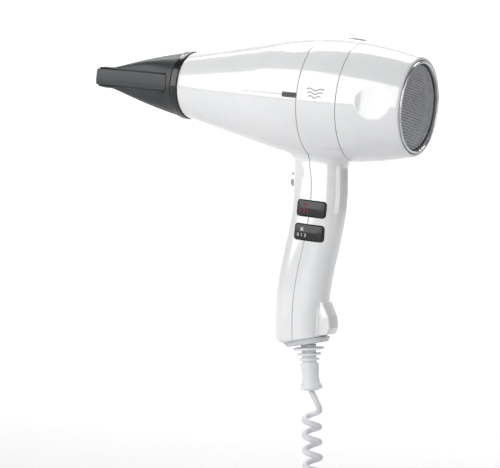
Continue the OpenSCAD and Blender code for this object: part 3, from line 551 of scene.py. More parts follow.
def handle_half(name, node, side, cutters):
    """The handle's front half (side -1) or rear half (side 1): an open shell with a floor."""
    shape = Shape()
    middle = pi if side < 0 else 0.0
    ends = (middle - pi / 2, middle + pi / 2)
    angles = spread(ends[0] + SEAM_MARGIN, ends[1] - SEAM_MARGIN, HALF_STEPS)

    def layer(wall, edge):
        shift = Vector((side * SEAM_HALF, 0, 0))
        first, last = [[p + shift for p in handle_column(t, edge)] for t in ends]
        return [first] + [handle_column(t, wall) for t in angles] + [last]

    outer = layer(0, SEAM_EDGE)
    inner = layer(WALL, WALL)
    ids = [[shape.add(p) for p in column] for column in outer + inner[::-1]]
    count, rows = len(ids), len(ids[0])
    for a, b in neighbours(ids, True):
        for i in range(rows - 1):
            shape.faces.append((a[i], b[i], b[i + 1], a[i + 1]))
    for j in range(len(outer) - 1):
        k = count - 1 - j
        for i in (0, rows - 1):
            shape.faces.append((ids[j][i], ids[j + 1][i], ids[k - 1][i], ids[k][i]))
    handle_floor(shape, side, angles)
    cut(shape.piece(name, "root", "white_shell", [node]), cutters)


def handle_floor(shape, side, angles):
    """The sloping floor of a half, just inside its lower edge."""
    rim = []
    for t in [angles[0]] + angles[1:-1:FLOOR_STRIDE] + [angles[-1]]:
        edge = foot_round(t)
        x, y = section(t, DEPTH_R - edge - FLOOR_FREE, WIDTH_R - edge - FLOOR_FREE)
        rim.append((grip_x(HANDLE_DROP) + x + side * SEAM_HALF, y))
    slab(shape, rim, FLOOR_LIFT, WALL, lambda x, y, w: (x, y, foot_z(x) + w))


def cut(target, cutters):
    """Takes the cutters' closed shapes out of the target's mesh."""
    for cutter in cutters:
        mesh = cutter.mesh("cutter")
        tool = into_scene("cutter", mesh)
        modifier = target.modifiers.new("cut", "BOOLEAN")
        modifier.operation = "DIFFERENCE"
        modifier.solver = "EXACT"
        modifier.use_self = True
        modifier.object = tool
        bpy.context.view_layer.update()
        graph = bpy.context.evaluated_depsgraph_get()
        result = bpy.data.meshes.new_from_object(target.evaluated_get(graph))
        target.modifiers.clear()
        old = target.data
        target.data = result
        bpy.data.meshes.remove(old)
        bpy.data.objects.remove(tool)
        bpy.data.meshes.remove(mesh)
    finish_mesh(target.data, SHARP_ANGLE)


# ---- Places on the handle ----

HEAT_DROP, ROCKER_PITCH, ROCKER_X = 80.4, 17.4, 5.3
ROCKER_LEN, ROCKER_HEIGHT, ROCKER_PROUD, ROCKER_DEPTH = 23.2, 11.8, 0.8, 5.2
FACE_Y = -(WIDTH_R + ROCKER_PROUD)
ROCKER_ROUND = 2.4
FREE = 0.3
BUTTON_R, BUTTON_DROP, BUTTON_PROUD = 6.45, 61.0, 2.5
BUTTON_FACE_X = grip_x(BUTTON_DROP) - DEPTH_R - BUTTON_PROUD
SCREW_DROPS = (112.0, 143.0)
SCREW_HEAD_R, SCREW_HEAD_X = 2.95, 7.0
FOOT_X, BOOT_TILT = 6.0, radians(10.5)
ROCKER_CUT = (-25, -9.5)
BUTTON_FREE, BUTTON_CUT = 0.25, (-6, 9)
SCREW_SINK, SCREW_CUT = 2, 12
boot_way = Vector((sin(BOOT_TILT), 0, -cos(BOOT_TILT)))
boot_side = Vector((cos(BOOT_TILT), 0, sin(BOOT_TILT)))
boot_foot = Vector((FOOT_X, 0, foot_z(FOOT_X)))


def about_boot(w, u, v):
    return boot_foot + w * boot_way + u * boot_side + Vector((0, v, 0))


def rounded_box(length, height, radius):
    return panel(-length / 2, length / 2, -height / 2, height / 2, radius, steps=6)


def rocker_cutters():
    """The windows of the rockers, which tip and so have the more room along their length."""
    loop = rounded_box(ROCKER_LEN + 2.4 * FREE, ROCKER_HEIGHT + 2 * FREE, ROCKER_ROUND + FREE)
    tools = []
    for drop in (HEAT_DROP, HEAT_DROP + ROCKER_PITCH):
        tools.append(Shape())
        slab(tools[-1], loop, *ROCKER_CUT, lambda u, v, w: (ROCKER_X + u, w, v - drop))
    return tools


def bore_cutter(x0, x1, radius, drop, n):
    """A round hole into the front of the handle."""
    tool = Shape()
    profile = [(x0, 0), (x0, radius), (x1, radius), (x1, 0)]
    tool.turned(profile, lambda a, u, v: (a, u, v - drop), n=n, along=False)
    return tool


def button_cutter():
    low, high = (BUTTON_FACE_X + x for x in BUTTON_CUT)
    return bore_cutter(low, high, BUTTON_R + BUTTON_FREE, BUTTON_DROP, 64)


def screw_cutter(drop):
    seat = grip_x(drop) - DEPTH_R + SCREW_HEAD_X - SCREW_SINK
    return bore_cutter(seat - SCREW_CUT, seat, SCREW_HEAD_R, drop, 48)


# ---- White casing ----

BARREL_SIDES = 256
EDGE_STEP = 2  # how far from a rounded edge the skin's own points begin
FRONT_BORE, FRONT_WALL = 22, 3
LIP_IN, LIP_OUT, LIP_REACH, LIP_ROOT, LIP_SKIN = 38.0, 39.6, 4.6, 2.9, 3.5
LUG_WIDTH, LUG_REACH, LUG_HEIGHT, LUG_LIFT, LUG_ROOT = 16.0, 7.5, 25.0, 6.5, -6


def front_casing():
    """The barrel's front cone, with the handle's front half."""
    wall_x = FRONT_X + FRONT_WALL
    corners = ([(FRONT_X, FRONT_BORE, 0.4), (FRONT_X, FRONT_R, 0.8)]
               + skin_line(FRONT_X + EDGE_STEP, -EDGE_STEP, 0)
               + [(-SEAM_HALF, outline_r(0), SEAM_ROUND), (-SEAM_HALF, outline_r(0) - WALL, 0)]
               + skin_line(-EDGE_STEP, wall_x, WALL)
               + [(wall_x, outline_r(wall_x) - WALL, 0), (wall_x, FRONT_BORE, 0)])
    turned_piece("front_barrel", "root", "white_shell", ["front_shell"], corners, BARREL_SIDES, steps=4)
    cutters = rocker_cutters() + [button_cutter()] + [screw_cutter(d) for d in SCREW_DROPS]
    handle_half("front_handle", "front_shell", -1, cutters)


def mid_casing():
    """The barrel's middle band with the lip for the cover, the handle's rear half and the lug at the heel."""
    end = BAND_LEN - SEAM_HALF
    corners = ([(SEAM_HALF, outline_r(0) - WALL, 0), (SEAM_HALF, outline_r(0), SEAM_ROUND)]
               + skin_line(EDGE_STEP, end - EDGE_STEP, 0)
               + [(end, outline_r(end), SEAM_ROUND), (end, LIP_OUT, 0), (end + LIP_REACH, LIP_OUT, 0.4),
                  (end + LIP_REACH, LIP_IN, 0.4), (end - LIP_ROOT, LIP_IN, 0),
                  (end - LIP_ROOT, outline_r(end) - WALL, 0)]
               + skin_line(end - LIP_SKIN, EDGE_STEP, WALL))
    band = turned_piece("mid_barrel", "root", "white_shell", ["mid_shell"], corners, BARREL_SIDES, steps=4)
    cut(band, [latch_cutter()])
    handle_half("rear_handle", "mid_shell", 1, rocker_cutters())
    lug = Shape()
    top = HANDLE_DROP - LUG_LIFT - LUG_HEIGHT
    x = grip_x(top + LUG_HEIGHT / 2) + DEPTH_R
    corners = [(LUG_ROOT, 0, 0), (LUG_ROOT, -LUG_HEIGHT, 0), (0.05 * LUG_REACH, -LUG_HEIGHT, 1.2),
               (0.8 * LUG_REACH, -0.95 * LUG_HEIGHT, 1.0), (LUG_REACH, -0.75 * LUG_HEIGHT, 1.2),
               (0.75 * LUG_REACH, -0.42 * LUG_HEIGHT, 4.0), (-0.5, 0, 3.0)]
    prism(lug, rounded(corners), lambda u, v, w: (x + u, w, v - top), -LUG_WIDTH / 2, LUG_WIDTH / 2, edge=1.0)
    lug.piece("heel_lug", "root", "white_shell", ["mid_shell"])


LATCH_X, LATCH_HALF = (17.5, BAND_LEN - 0.8), 7.0
LATCH_FREE, LATCH_CUT = 0.25, (30, 60)
LATCH_BARS, LATCH_BAR, LATCH_BAR_HALF, LATCH_BAR_START, LATCH_BAR_PITCH = 5, 0.7, 5, 2.6, 1.7
STEM_X, STEM_HALF, STEM_Z = (19.5, 26), 4, (38.8, 43)


def latch_cutter():
    tool = Shape()
    side = LATCH_HALF + LATCH_FREE
    slab(tool, panel(LATCH_X[0] - LATCH_FREE, LATCH_X[1] + LATCH_FREE, -side, side, 1.2), *LATCH_CUT)
    return tool


def latch_plate():
    """The press plate on top of the middle band, with five fine bars on it and a stem below."""
    plate = Shape()

    def place(x, y, w):
        return x, y, sqrt((outline_r(x) + w) ** 2 - y * y)

    prism(plate, panel(*LATCH_X, -LATCH_HALF, LATCH_HALF, 1.1), place, -1.6, 0.55, edge=0.35)
    for i in range(LATCH_BARS):
        x = LATCH_X[0] + LATCH_BAR_START + i * LATCH_BAR_PITCH
        bar = panel(x, x + LATCH_BAR, -LATCH_BAR_HALF, LATCH_BAR_HALF, 0.3, steps=3)
        prism(plate, bar, place, 0.1, 0.7, edge=0.15)
    slab(plate, panel(*STEM_X, -STEM_HALF, STEM_HALF), *STEM_Z)
    plate.piece("latch_plate", "cover_latch", "latch_grey", ["cover_latch"])


DIMPLE_R, DIMPLE_DEPTH, DIMPLE_X = 12.4, 2.0, REAR_X - 18.5
DIMPLE_SOFT, DIMPLE_SKIN = 0.08, 0.6  # how softly the hollow's edge runs out, and how thick a skin it moves
COVER_EDGE_R, COVER_BORE, COVER_SIDES, LEDGE_DEPTH = 1.4, 33.4, 420, 11
COVER_LINE = (1.5, 0.7)  # where the skin's points begin, and their step
# Sizes of the painted seam shade rings: their reach beside the seam, and how far their top and bottom lie under
# the skin
SHADOW_HALF, SHADOW_TOP, SHADOW_BOTTOM = 0.28, 0.13, 0.6


def cover_casing():
    """The rear cover, with a shallow round hollow on each side."""
    low = BAND_LEN + SEAM_HALF
    ledge = REAR_X - LEDGE_DEPTH
    corners = ([(low, outline_r(low) - COVER_WALL, 0), (low, outline_r(low), SEAM_ROUND)]
               + skin_line(low + COVER_LINE[0], REAR_X - EDGE_STEP, 0, step=COVER_LINE[1])
               + [(REAR_X, outline_r(REAR_X) - 0.1, COVER_EDGE_R), (REAR_X, COVER_BORE, 0.3),
                  (ledge, COVER_BORE, 0), (ledge, outline_r(ledge) - COVER_WALL, 0)]
               + skin_line(ledge - 1, low + COVER_LINE[0], COVER_WALL))

    def hollowed(a, u, v):
        r = hypot(u, v)
        if r < outline_r(a) - DIMPLE_SKIN:
            return a, u, v
        across = r * asin(min(1, abs(v) / r)) if u else r * pi / 2
        rho = hypot(a - DIMPLE_X, across) / DIMPLE_R
        depth = DIMPLE_DEPTH * (1 - rho * rho) / DIMPLE_SOFT
        dip = DIMPLE_SOFT * log(1 + exp(max(-30.0, min(200.0, depth))))
        return a, u * (1 - dip / r), v * (1 - dip / r)

    turned_piece("cover_casing", "rear_cover", "white_shell", ["rear_cover"], corners, COVER_SIDES, steps=4,
                 place=hollowed, sharp=50)


def seam_shadow():
    """A dark ring in each of the barrel's two seams, just under the skin, clear of the cover: painted shade that
    stands in for the shadow down in the seam's gap.
    """
    rings = Shape()
    for x, ahead in ((0, SHADOW_HALF), (BAND_LEN, -0.02)):
        top, bottom = outline_r(x) - SHADOW_TOP, outline_r(x) - SHADOW_BOTTOM
        low, high = x - SHADOW_HALF, x + ahead
        rings.turned([(low, bottom), (low, top), (high, top), (high, bottom)], as_is, n=BARREL_SIDES)
    # The black plastic here is painted shade for the seams' shadow, not a part
    rings.piece("seam_shadow", "root", "black_plastic")


# ---- Rear grille ----

RIM_OUT, RIM_IN, RIM_DEPTH, RIM_PROUD, RIM_ROUND = 32.75, 31.0, 5.4, 1.0, 0.85
SEAT_IN, SEAT_OUT, SEAT_DEPTH = 30.1, RIM_IN + 0.1, 5.5
MESH_R, MESH_DOME, MESH_X = 31.0, 2.6, REAR_X - 2.6
MESH_PITCH, WIRE_R = 1.35, 0.24
MESH_TURN = radians(38)
WEB_R, WEB_MARGIN = 30.4, 0.2


def rim_ring():
    """The bright rim, and the black seat of the mesh inside it."""
    back, front = REAR_X - RIM_DEPTH, REAR_X + RIM_PROUD
    corners = [(back, RIM_IN, 0), (back, RIM_OUT, 0), (front, RIM_OUT, RIM_ROUND), (front, RIM_IN, RIM_ROUND)]
    turned_piece("chrome_ring", "rear_cover", "chrome_rim", ["intake_rim"], corners, 192, steps=8)
    back = REAR_X - SEAT_DEPTH
    corners = [(back, SEAT_IN, 0), (back, SEAT_OUT, 0), (REAR_X - 1.3, SEAT_OUT, 0.2),
               (REAR_X - 1.9, SEAT_IN, 0.3)]
    turned_piece("mesh_seat", "rear_cover", "black_plastic", (), corners, 128, steps=3)


def dome_x(r):
    ball = (MESH_R ** 2 + MESH_DOME ** 2) / (2 * MESH_DOME)
    return MESH_X + MESH_DOME - ball + sqrt(ball * ball - r * r)


def woven_mesh():
    """Two sets of fine wires that pass over and under each other on a shallow dome."""
    web = Shape()
    count = int(MESH_R / MESH_PITCH)
    for across in (0, 1):
        for i in range(-count, count + 1):
            offset = (i + 0.5) * MESH_PITCH
            if abs(offset) > WEB_R - WEB_MARGIN:
                continue
            half = sqrt(WEB_R ** 2 - offset ** 2)
            steps = max(4, int(2 * half / (MESH_PITCH / 2)))
            rows = []
            for k in range(steps + 1):
                s = -half + 2 * half * k / steps
                wave = cos(pi * s / MESH_PITCH) * (1 if (i + across) % 2 else -1) * WIRE_R
                p, q = (s, offset) if across else (offset, s)
                y = p * cos(MESH_TURN) - q * sin(MESH_TURN)
                z = p * sin(MESH_TURN) + q * cos(MESH_TURN)
                x = dome_x(hypot(y, z)) + wave
                sy, sz = (-sin(MESH_TURN), cos(MESH_TURN)) if across else (cos(MESH_TURN), sin(MESH_TURN))
                rows.append([(x + WIRE_R, y, z), (x, y + sy * WIRE_R, z + sz * WIRE_R),
                             (x - WIRE_R, y, z), (x, y - sy * WIRE_R, z - sz * WIRE_R)])
            web.skin(rows, caps=True)
    web.piece("woven_mesh", "rear_cover", "steel_mesh", ["intake_mesh"], sharp=100)


# ---- Nozzle ----

COLLAR_LEN, COLLAR_R, DUCT_LEN, MOUTH_LEN = 6.0, 26.1, 68.0, 12.0
MOUTH_W, MOUTH_H, DUCT_WALL, LIP_ROUND = 48.0, 17.0, 1.6, 5.0
COLLAR_X = (FRONT_X - COLLAR_LEN, FRONT_X - 0.1)
DUCT_BACK = COLLAR_X[0] - 0.3
DUCT_FRONT = FRONT_X - COLLAR_LEN - DUCT_LEN
DUCT_R = COLLAR_R - 0.9
SLIDE_R, SPIGOT_R, COLLAR_BORE = 22.3, 24, 24.3
STEP_DEPTH = (4.4, 4.2)  # how far the collar's bore and the duct's spigot reach back from the collar's front
SWELL, SWELL_SPAN, SWELL_END = 1.1, 1.15, 0.87
MOUTH_POWER, MOUTH_EASE = 4.5, 0.98
MOUTH_LIP = ((0.5, 0), (0.15, 0.15), (0, 0.5), (0, DUCT_WALL - 0.5), (0.15, DUCT_WALL - 0.15),
             (0.5, DUCT_WALL))
BAR_HALF, BAR_HEIGHT, BAR_END, BAR_ROOT, BAR_STEP = 25.5, 12.4, 4, 18, 2.5
RIB, RIB_GAP, RIB_ROOT, RIB_PROUD, RIB_ENDS = 0.9, 0.95, 19, 0.3, (1.6, 2)


def collar_ring():
    front, back = COLLAR_X
    step = front + STEP_DEPTH[0]
    corners = [(front, COLLAR_BORE, 0.2), (step, COLLAR_BORE, 0), (step, SLIDE_R, 0), (back, SLIDE_R, 0),
               (back, COLLAR_R, 0.9), (front, COLLAR_R, 0.9)]
    turned_piece("collar_ring", "nozzle_collar", "collar_black", ["nozzle_collar"], corners, 192, steps=6)


def duct_point(x, t, inset):
    """A point of the nozzle's skin at angle t: round at the collar, a flat rounded slot at the mouth."""
    along = (DUCT_BACK - x) / (DUCT_BACK - DUCT_FRONT - MOUTH_LEN)
    line = min(1.0, along)
    swell = SWELL * sin(pi * min(1.0, line * SWELL_SPAN)) * (1 - line) if line < SWELL_END else 0
    high = DUCT_R + (MOUTH_H / 2 - DUCT_R) * line + swell
    wide = DUCT_R + (MOUTH_W / 2 - DUCT_R) * line
    power = 2 + MOUTH_POWER * smooth_step(0, 1, along * MOUTH_EASE)
    z, y = section(t, high - inset, wide - inset, power)
    return x, y, z


def mouth_cut(p):
    """Side view of the mouth: its upper and lower front corners are rounded."""
    x, y, z = p
    over = abs(z) - (MOUTH_H / 2 - LIP_ROUND)
    if over <= 0:
        return x, y, z
    back = LIP_ROUND - sqrt(max(0.0, LIP_ROUND ** 2 - min(over, LIP_ROUND) ** 2))
    fade = 1 - smooth_step(0, MOUTH_LEN, x - DUCT_FRONT)
    return x + back * fade, y, z


def nozzle_body():
    """The flat nozzle, with a bar and two ribs on each side."""
    body = Shape()
    angles = [2 * pi * k / 128 for k in range(128)]
    stations = [(DUCT_BACK, 0.5), (DUCT_BACK - 0.5, 0)]
    stations += [(x, 0) for x in spread(DUCT_BACK - 2, DUCT_FRONT + 1.2, 44)]
    stations += [(DUCT_FRONT + back, inset) for back, inset in MOUTH_LIP]
    stations += [(x, DUCT_WALL) for x in spread(DUCT_FRONT + 1.5, DUCT_BACK, 40)]
    body.skin([[mouth_cut(duct_point(x, t, inset)) for t in angles] for x, inset in stations], along=True)
    low, high = DUCT_BACK - 1.2, COLLAR_X[0] + STEP_DEPTH[1]
    body.turned([(low, SLIDE_R), (low, SPIGOT_R), (high, SPIGOT_R), (high, SLIDE_R)], as_is, n=96)
    half = BAR_HEIGHT / 2
    far = DUCT_FRONT + DUCT_LEN - BAR_END
    low, high = DUCT_FRONT + RIB_ENDS[0], far - RIB_ENDS[1]
    for side in (-1, 1):
        def place(u, v, w, side=side):
            return mouth_cut((u, side * w, v))

        bar = panel(DUCT_FRONT, far, -half, half, 0.5, 2.5, steps=6)
        prism(body, finer(bar, BAR_STEP), place, BAR_ROOT, BAR_HALF, edge=0.5)
        for up in (-1, 1):
            z = up * (half + RIB_GAP)
            rib = panel(low, high, z - RIB / 2, z + RIB / 2, 0.3, 0.44, steps=3)
            prism(body, finer(rib, BAR_STEP), place, RIB_ROOT, BAR_HALF + RIB_PROUD, edge=0.3)
    body.piece("nozzle_body", "nozzle_duct", "nozzle_anthracite", ["nozzle_duct"])


# ---- Trim and marks ----

def on_barrel(x, z, proud, side):
    return x, side * sqrt((outline_r(x) + proud) ** 2 - z * z), z


TRIM_X, TRIM_PITCH, STRIP_HALF, TRIM_HALF, TRIM_STEP = (-12, -0.3), 1.28, 0.55, 1.6, 1.5
NEEDLE = [(-55, -0.12), (-12.2, -0.42), (-12.2, 0.42), (-55, 0.12)]


def side_trim():
    """On each side a dark bar with two grooves, and a thin needle that points forward."""
    bars, needles = Shape(), Shape()
    for side in (-1, 1):
        def place(u, v, w, side=side):
            return on_barrel(u, v, w, side)

        for z in (-TRIM_PITCH, 0, TRIM_PITCH):
            strip = panel(*TRIM_X, z - STRIP_HALF, z + STRIP_HALF, 0.4, 0.15)
            prism(bars, finer(strip, TRIM_STEP), place, -0.8, 0.28, edge=0.2)
        back = panel(*TRIM_X, -TRIM_HALF, TRIM_HALF)
        prism(bars, finer(back, TRIM_STEP), place, -0.9, 0.06, edge=0.05)
        prism(needles, finer(NEEDLE, 2), place, -0.8, 0.22, edge=0.06)
    bars.piece("trim_strips", "root", "trim_dark", ["trim_bars"])
    needles.piece("trim_needles", "root", "grey_plastic", ["trim_bars"])


def ribbon(shape, line, width, surface, low, high):
    """A thin raised line along (u, v) points; surface(u, v, height) places it."""
    rows = []
    for i, p in enumerate(line):
        a, b = Vector(line[max(i - 1, 0)]), Vector(line[min(i + 1, len(line) - 1)])
        ahead = (b - a).normalized()
        du, dv = -ahead.y * width / 2, ahead.x * width / 2
        rows.append([surface(p[0] + du, p[1] + dv, low), surface(p[0] + du, p[1] + dv, high),
                     surface(p[0] - du, p[1] - dv, high), surface(p[0] - du, p[1] - dv, low)])
    shape.skin(rows, caps=True)


def arc_line(cx, cy, rx, ry, a0, a1, n=14):
    return [(cx + rx * cos(radians(a)), cy + ry * sin(radians(a))) for a in spread(a0, a1, n)]


# Strokes of the digits in a box 1 wide and 1.6 high, centred
DIGITS = {
    "0": [arc_line(0, 0, 0.42, 0.76, 90, 450, 28)],
    "1": [[(-0.2, 0.5), (0.05, 0.78)], [(0.05, 0.8), (0.05, -0.8)]],
    "2": [arc_line(0, 0.38, 0.4, 0.4, 160, -35) + [(-0.42, -0.76)], [(-0.44, -0.76), (0.46, -0.76)]],
    "3": [arc_line(0, 0.4, 0.38, 0.38, 150, -85), arc_line(0, -0.37, 0.42, 0.42, 88, -150)],
}


MARK_SPAN = (-0.25, 0.05)  # how far below and above the skin a mark reaches
WAVES, WAVE_X, WAVE_Z, WAVE_LEN, WAVE_HEIGHT, WAVE_LINE = 3, (7.5, 1.1), (5.2, 2.6), (14.0, 2.2), 0.75, 0.62


def airflow_mark():
    """Three small waves on the band, each shorter than the one above: a plain sign for air."""
    waves = Shape()
    for i in range(WAVES):
        z = WAVE_Z[0] - WAVE_Z[1] * i
        reach = WAVE_LEN[0] - WAVE_LEN[1] * i
        start = WAVE_X[0] + WAVE_X[1] * i
        line = [(start + reach * s, z + WAVE_HEIGHT * sin(2 * pi * s * 1.5)) for s in spread(0, 1, 40)]
        ribbon(waves, line, WAVE_LINE, lambda u, v, w: on_barrel(u, v, w, -1), -0.3, 0.05)
    waves.piece("airflow_mark", "root", "trim_dark", material=mark_grey, sharp=60)


# ---- Rockers and button ----

def rocker_face(x, drop):
    a, b = DEPTH_R + ROCKER_PROUD, WIDTH_R + ROCKER_PROUD
    s = min(0.999, abs(x - grip_x(drop)) / a)
    return -b * (1 - s ** SECTION_POWER) ** (1 / SECTION_POWER)


KEY_EDGE, KEY_CROWN, KEY_SINK, KEY_BEVEL, LEAST_ROUND = 0.9, 0.5, 1.4, 0.4, 0.15
DIGIT_PLACES, DIGIT_Z, DIGIT_SIZE, DIGIT_LINE = (-8.1, -5.1, -2.1), -2.1, 1.3175, 0.36
SIGN_X, SIGN_Z = -5.1, 2.1


def key_point(u, v, drop, sink):
    """A point of a rocker's crowned face, sunk below it."""
    x = ROCKER_X + u
    return x, rocker_face(x, drop) + sink + KEY_CROWN * (v / (ROCKER_HEIGHT / 2)) ** 2, v - drop


def fan_sign():
    """Four curved blades."""
    starts = [radians(90 * i + 20) for i in range(4)]
    return [[(SIGN_X + r * cos(a + 0.5 * r), SIGN_Z + r * sin(a + 0.5 * r)) for r in spread(0.3, 1.5, 8)]
            for a in starts], 0.62


def heat_sign():
    """Three rising waves."""
    return [[(SIGN_X + i + 0.25 * sin(2 * pi * s), 0.9 + 2.6 * s) for s in spread(0, 1, 16)]
            for i in (-1, 0, 1)], 0.34


def rocker_key(name, body, drop, digits, sign, colour):
    """A crowned rocker with rounded corners, three digits and a small sign."""
    def outline(inset):
        radius = max(LEAST_ROUND, ROCKER_ROUND - inset)
        return rounded_box(ROCKER_LEN - 2 * inset, ROCKER_HEIGHT - 2 * inset, radius)

    def flat_row(inset, y):
        return [(ROCKER_X + u, y, v - drop) for u, v in outline(inset)]

    def row(inset, sink):
        return [key_point(u, v, drop, sink) for u, v in outline(inset)]

    def surface(u, v, w):
        return key_point(u, v, drop, -w)

    key = Shape()
    deep = FACE_Y + ROCKER_DEPTH
    rows = [flat_row(KEY_BEVEL, deep), flat_row(0.0, deep - KEY_BEVEL), row(0.0, KEY_SINK)]
    rows += [row(KEY_EDGE * (1 - cos(a)), KEY_EDGE * (1 - sin(a))) for a in spread(0, pi / 2, 4)]
    rows += [row(inset, 0) for inset in spread(KEY_EDGE + 0.4, ROCKER_HEIGHT / 2 - 0.3, 7)]
    key.skin(rows, caps=True)
    key.piece(name, body, "rocker_dark", [body], sharp=50)
    marks = Shape()
    for digit, u in zip(digits, DIGIT_PLACES):
        for stroke in DIGITS[digit]:
            line = [(u + p[0] * DIGIT_SIZE, DIGIT_Z + p[1] * DIGIT_SIZE) for p in stroke]
            ribbon(marks, line, DIGIT_LINE, surface, *MARK_SPAN)
    lines, width = sign
    for line in lines:
        ribbon(marks, line, width, surface, *MARK_SPAN)
    marks.piece(name + "_marks", body, "rocker_dark", material=colour, sharp=60)


KNOB_FACE = ((0, 0, 0), (0.02, 3.6, 0.3), (0.45, 4.3, 0.3), (0.1, 5.0, 0.3), (0.25, BUTTON_R, 0.8))
KNOB_LEN, KNOB_FLANGE, KNOB_FLANGE_R, KNOB_BORE_R, KNOB_BORE = 9, 1.5, BUTTON_R + 0.9, 3.2, 5


def cool_knob():
    """The round button: a flat face with a groove round its middle, a flange and a bore at its back."""
    back = BUTTON_FACE_X + KNOB_LEN
    corners = [(BUTTON_FACE_X + depth, r, edge) for depth, r, edge in KNOB_FACE]
    corners += [(back - KNOB_FLANGE, BUTTON_R, 0), (back - KNOB_FLANGE, KNOB_FLANGE_R, 0.2),
                (back, KNOB_FLANGE_R, 0.2), (back, KNOB_BORE_R, 0), (back - KNOB_BORE, KNOB_BORE_R, 0),
                (back - KNOB_BORE, 0, 0)]
    turned_piece("cool_knob", "cool_button", "button_silver", ["cool_button"], corners, 96,
                 place=lambda a, u, v: (a, u, v - BUTTON_DROP), closed=False)


# ---- Foot of the handle ----

BAND_HEIGHT, BAND_HALF_X, BAND_HALF_Y, BAND_PIVOT = 4.0, 15.8, 12.3, FOOT_X - 1.2
# Height, inset and growth of the band's rows from the bottom up
BAND_ROWS = ((-BAND_HEIGHT, 0.8, 1.0), (-BAND_HEIGHT + 0.06, 0.45, 1.0), (-BAND_HEIGHT + 0.25, 0.15, 1.0),
             (-BAND_HEIGHT + 0.7, 0, 1.012), (-1.3, 0, 1.09), (-1.1, 0.25, 1.09), (-0.8, 0.25, 1.1),
             (-0.6, 0, 1.11), (-0.3, 0, 1.12), (-0.08, 0.2, 1.12))


def foot_band():
    """The sloping band under the handle."""
    band = Shape()
    pivot = Vector((BAND_PIVOT, 0, foot_z(BAND_PIVOT)))

    def place(u, v, w):
        return pivot + Vector((u * cos(FOOT_TILT) - w * sin(FOOT_TILT), v,
                               u * sin(FOOT_TILT) + w * cos(FOOT_TILT)))

    rows = []
    for w, inset, grow in BAND_ROWS:
        half_x = BAND_HALF_X * grow - inset
        half_y = BAND_HALF_Y * (1 + (grow - 1) * 0.8) - inset
        rows.append([place(*section(2 * pi * k / 120, half_x, half_y), w) for k in range(120)])
    band.skin(rows, caps=True)
    band.piece("foot_band", "root", "grey_plastic", ["bottom_band"])


BOOT_START, BOOT_END, BOOT_BORE, BOOT_NECK = 4.2, 38.0, 2.35, 5.4
BOOT_RINGS = ((11.7, 7.2), (9.3, 11.4), (7.8, 15.2))
# Station, radius and rounding of the boot's lower part, which widens into a bell
BOOT_BELL = [(18.0, BOOT_NECK, 0.2), (18.1, 7.0, 0.5), (20, 6.95, 0), (24, 6.5, 3), (28.5, 6.4, 4),
             (32, 6.9, 3), (34.2, 8.2, 1.5), (36, 8.6, 0.8), (37.2, 7.9, 0.8), (BOOT_END, 5.2, 1.2),
             (BOOT_END, BOOT_BORE + 0.2, 0.3)]


def cord_boot():
    """The rubber sleeve of the cord: three rings on a neck, then a bell."""
    corners = [(BOOT_START, BOOT_BORE, 0), (BOOT_START, BOOT_NECK + 0.6, 0)]
    for r, w in BOOT_RINGS:
        corners += [(w - 0.95, BOOT_NECK, 0.3), (w - 0.75, r - 0.2, 0.6), (w + 0.85, r, 0.75),
                    (w + 1.0, BOOT_NECK, 0.3)]
    turned_piece("cord_boot", "root", "boot_white", ["strain_relief"], corners + BOOT_BELL, 96,
                 place=about_boot)


# ---- Cord ----

CORD_R, CORD_LENGTH = 2.25, 1.8
CORD_EXIT = (12.9, 0, -214.2)
CURL_R = 5.55  # from the middle of a turn to the middle of the cord
LOOSE_PITCH, FIRM_PITCH, FOLD_PITCH, END_PITCH = 11.4, 4.56, 7.5, 26.0
FIRM_FROM, FOLD_FROM = (266, 280), (382, 394)  # how far down the curl becomes close, and folds
CURL_START, CURL_END = 5.0, 14.0  # where the turns begin and run out, along the route from its ends
START_TURN = radians(125)  # where on a turn the lead comes in, counted from -Y by way of +X
TURN_STEPS = 20
LEAD_FROM = Vector((12.9, 0, -213.9))
LEAD_PULL, LINK_PULL = (4.0, 9.0), (2.0, 2.0)
CURL_ROUTE = [(14, 0, -225), (16, 0, -238), (18, 0, -253), (20.3, 0, -268), (22, 0, -284), (23, 0, -300),
              (23, 0, -320), (23, 0, -350), (23, 0, -391), (22, 0, -396.4), (18.9, 0, -400.9),
              (14.4, 0, -403.9), (9, 0, -405), (3.6, 0, -403.9), (-0.9, 0, -400.9), (-4, 0, -396.4),
              (-5, 0, -391), (-5, 0, -350), (-5, 0, -318)]
TAIL_ROUTE = [(-5, 0, -317.9), (-5, 0, -314), (-6.1, 0, -308.6), (-9.1, 0, -304.1), (-13.6, 0, -301.1),
              (-19, 0, -300), (-24.4, 0, -301.1), (-28.9, 0, -304.1), (-31.9, 0, -308.6), (-33, 0, -314),
              (-33, 0, -323)]


def curve_through(points, per_span):
    """A smooth curve through given points."""
    points = [Vector(p) for p in points]
    ends = [2 * points[0] - points[1]] + points + [2 * points[-1] - points[-2]]
    out = []
    for i in range(len(points) - 1):
        p0, p1, p2, p3 = ends[i:i + 4]
        span = (p2 - p1).length
        m1 = (p2 - p0) * (span / max(1e-6, (p1 - p0).length + span))
        m2 = (p3 - p1) * (span / max(1e-6, (p3 - p2).length + span))
        for k in range(per_span):
            s = k / per_span
            out.append((2 * s ** 3 - 3 * s * s + 1) * p1 + (s ** 3 - 2 * s * s + s) * m1
                       + (3 * s * s - 2 * s ** 3) * p2 + (s ** 3 - s * s) * m2)
    out.append(points[-1])
    return out


def hermite(a, way_a, b, way_b, pulls, n):
    """A curve from a to b that leaves along way_a and arrives along way_b."""
    return [bezier(a, a + way_a * pulls[0], b - way_b * pulls[1], b, s) for s in spread(0, 1, n)]


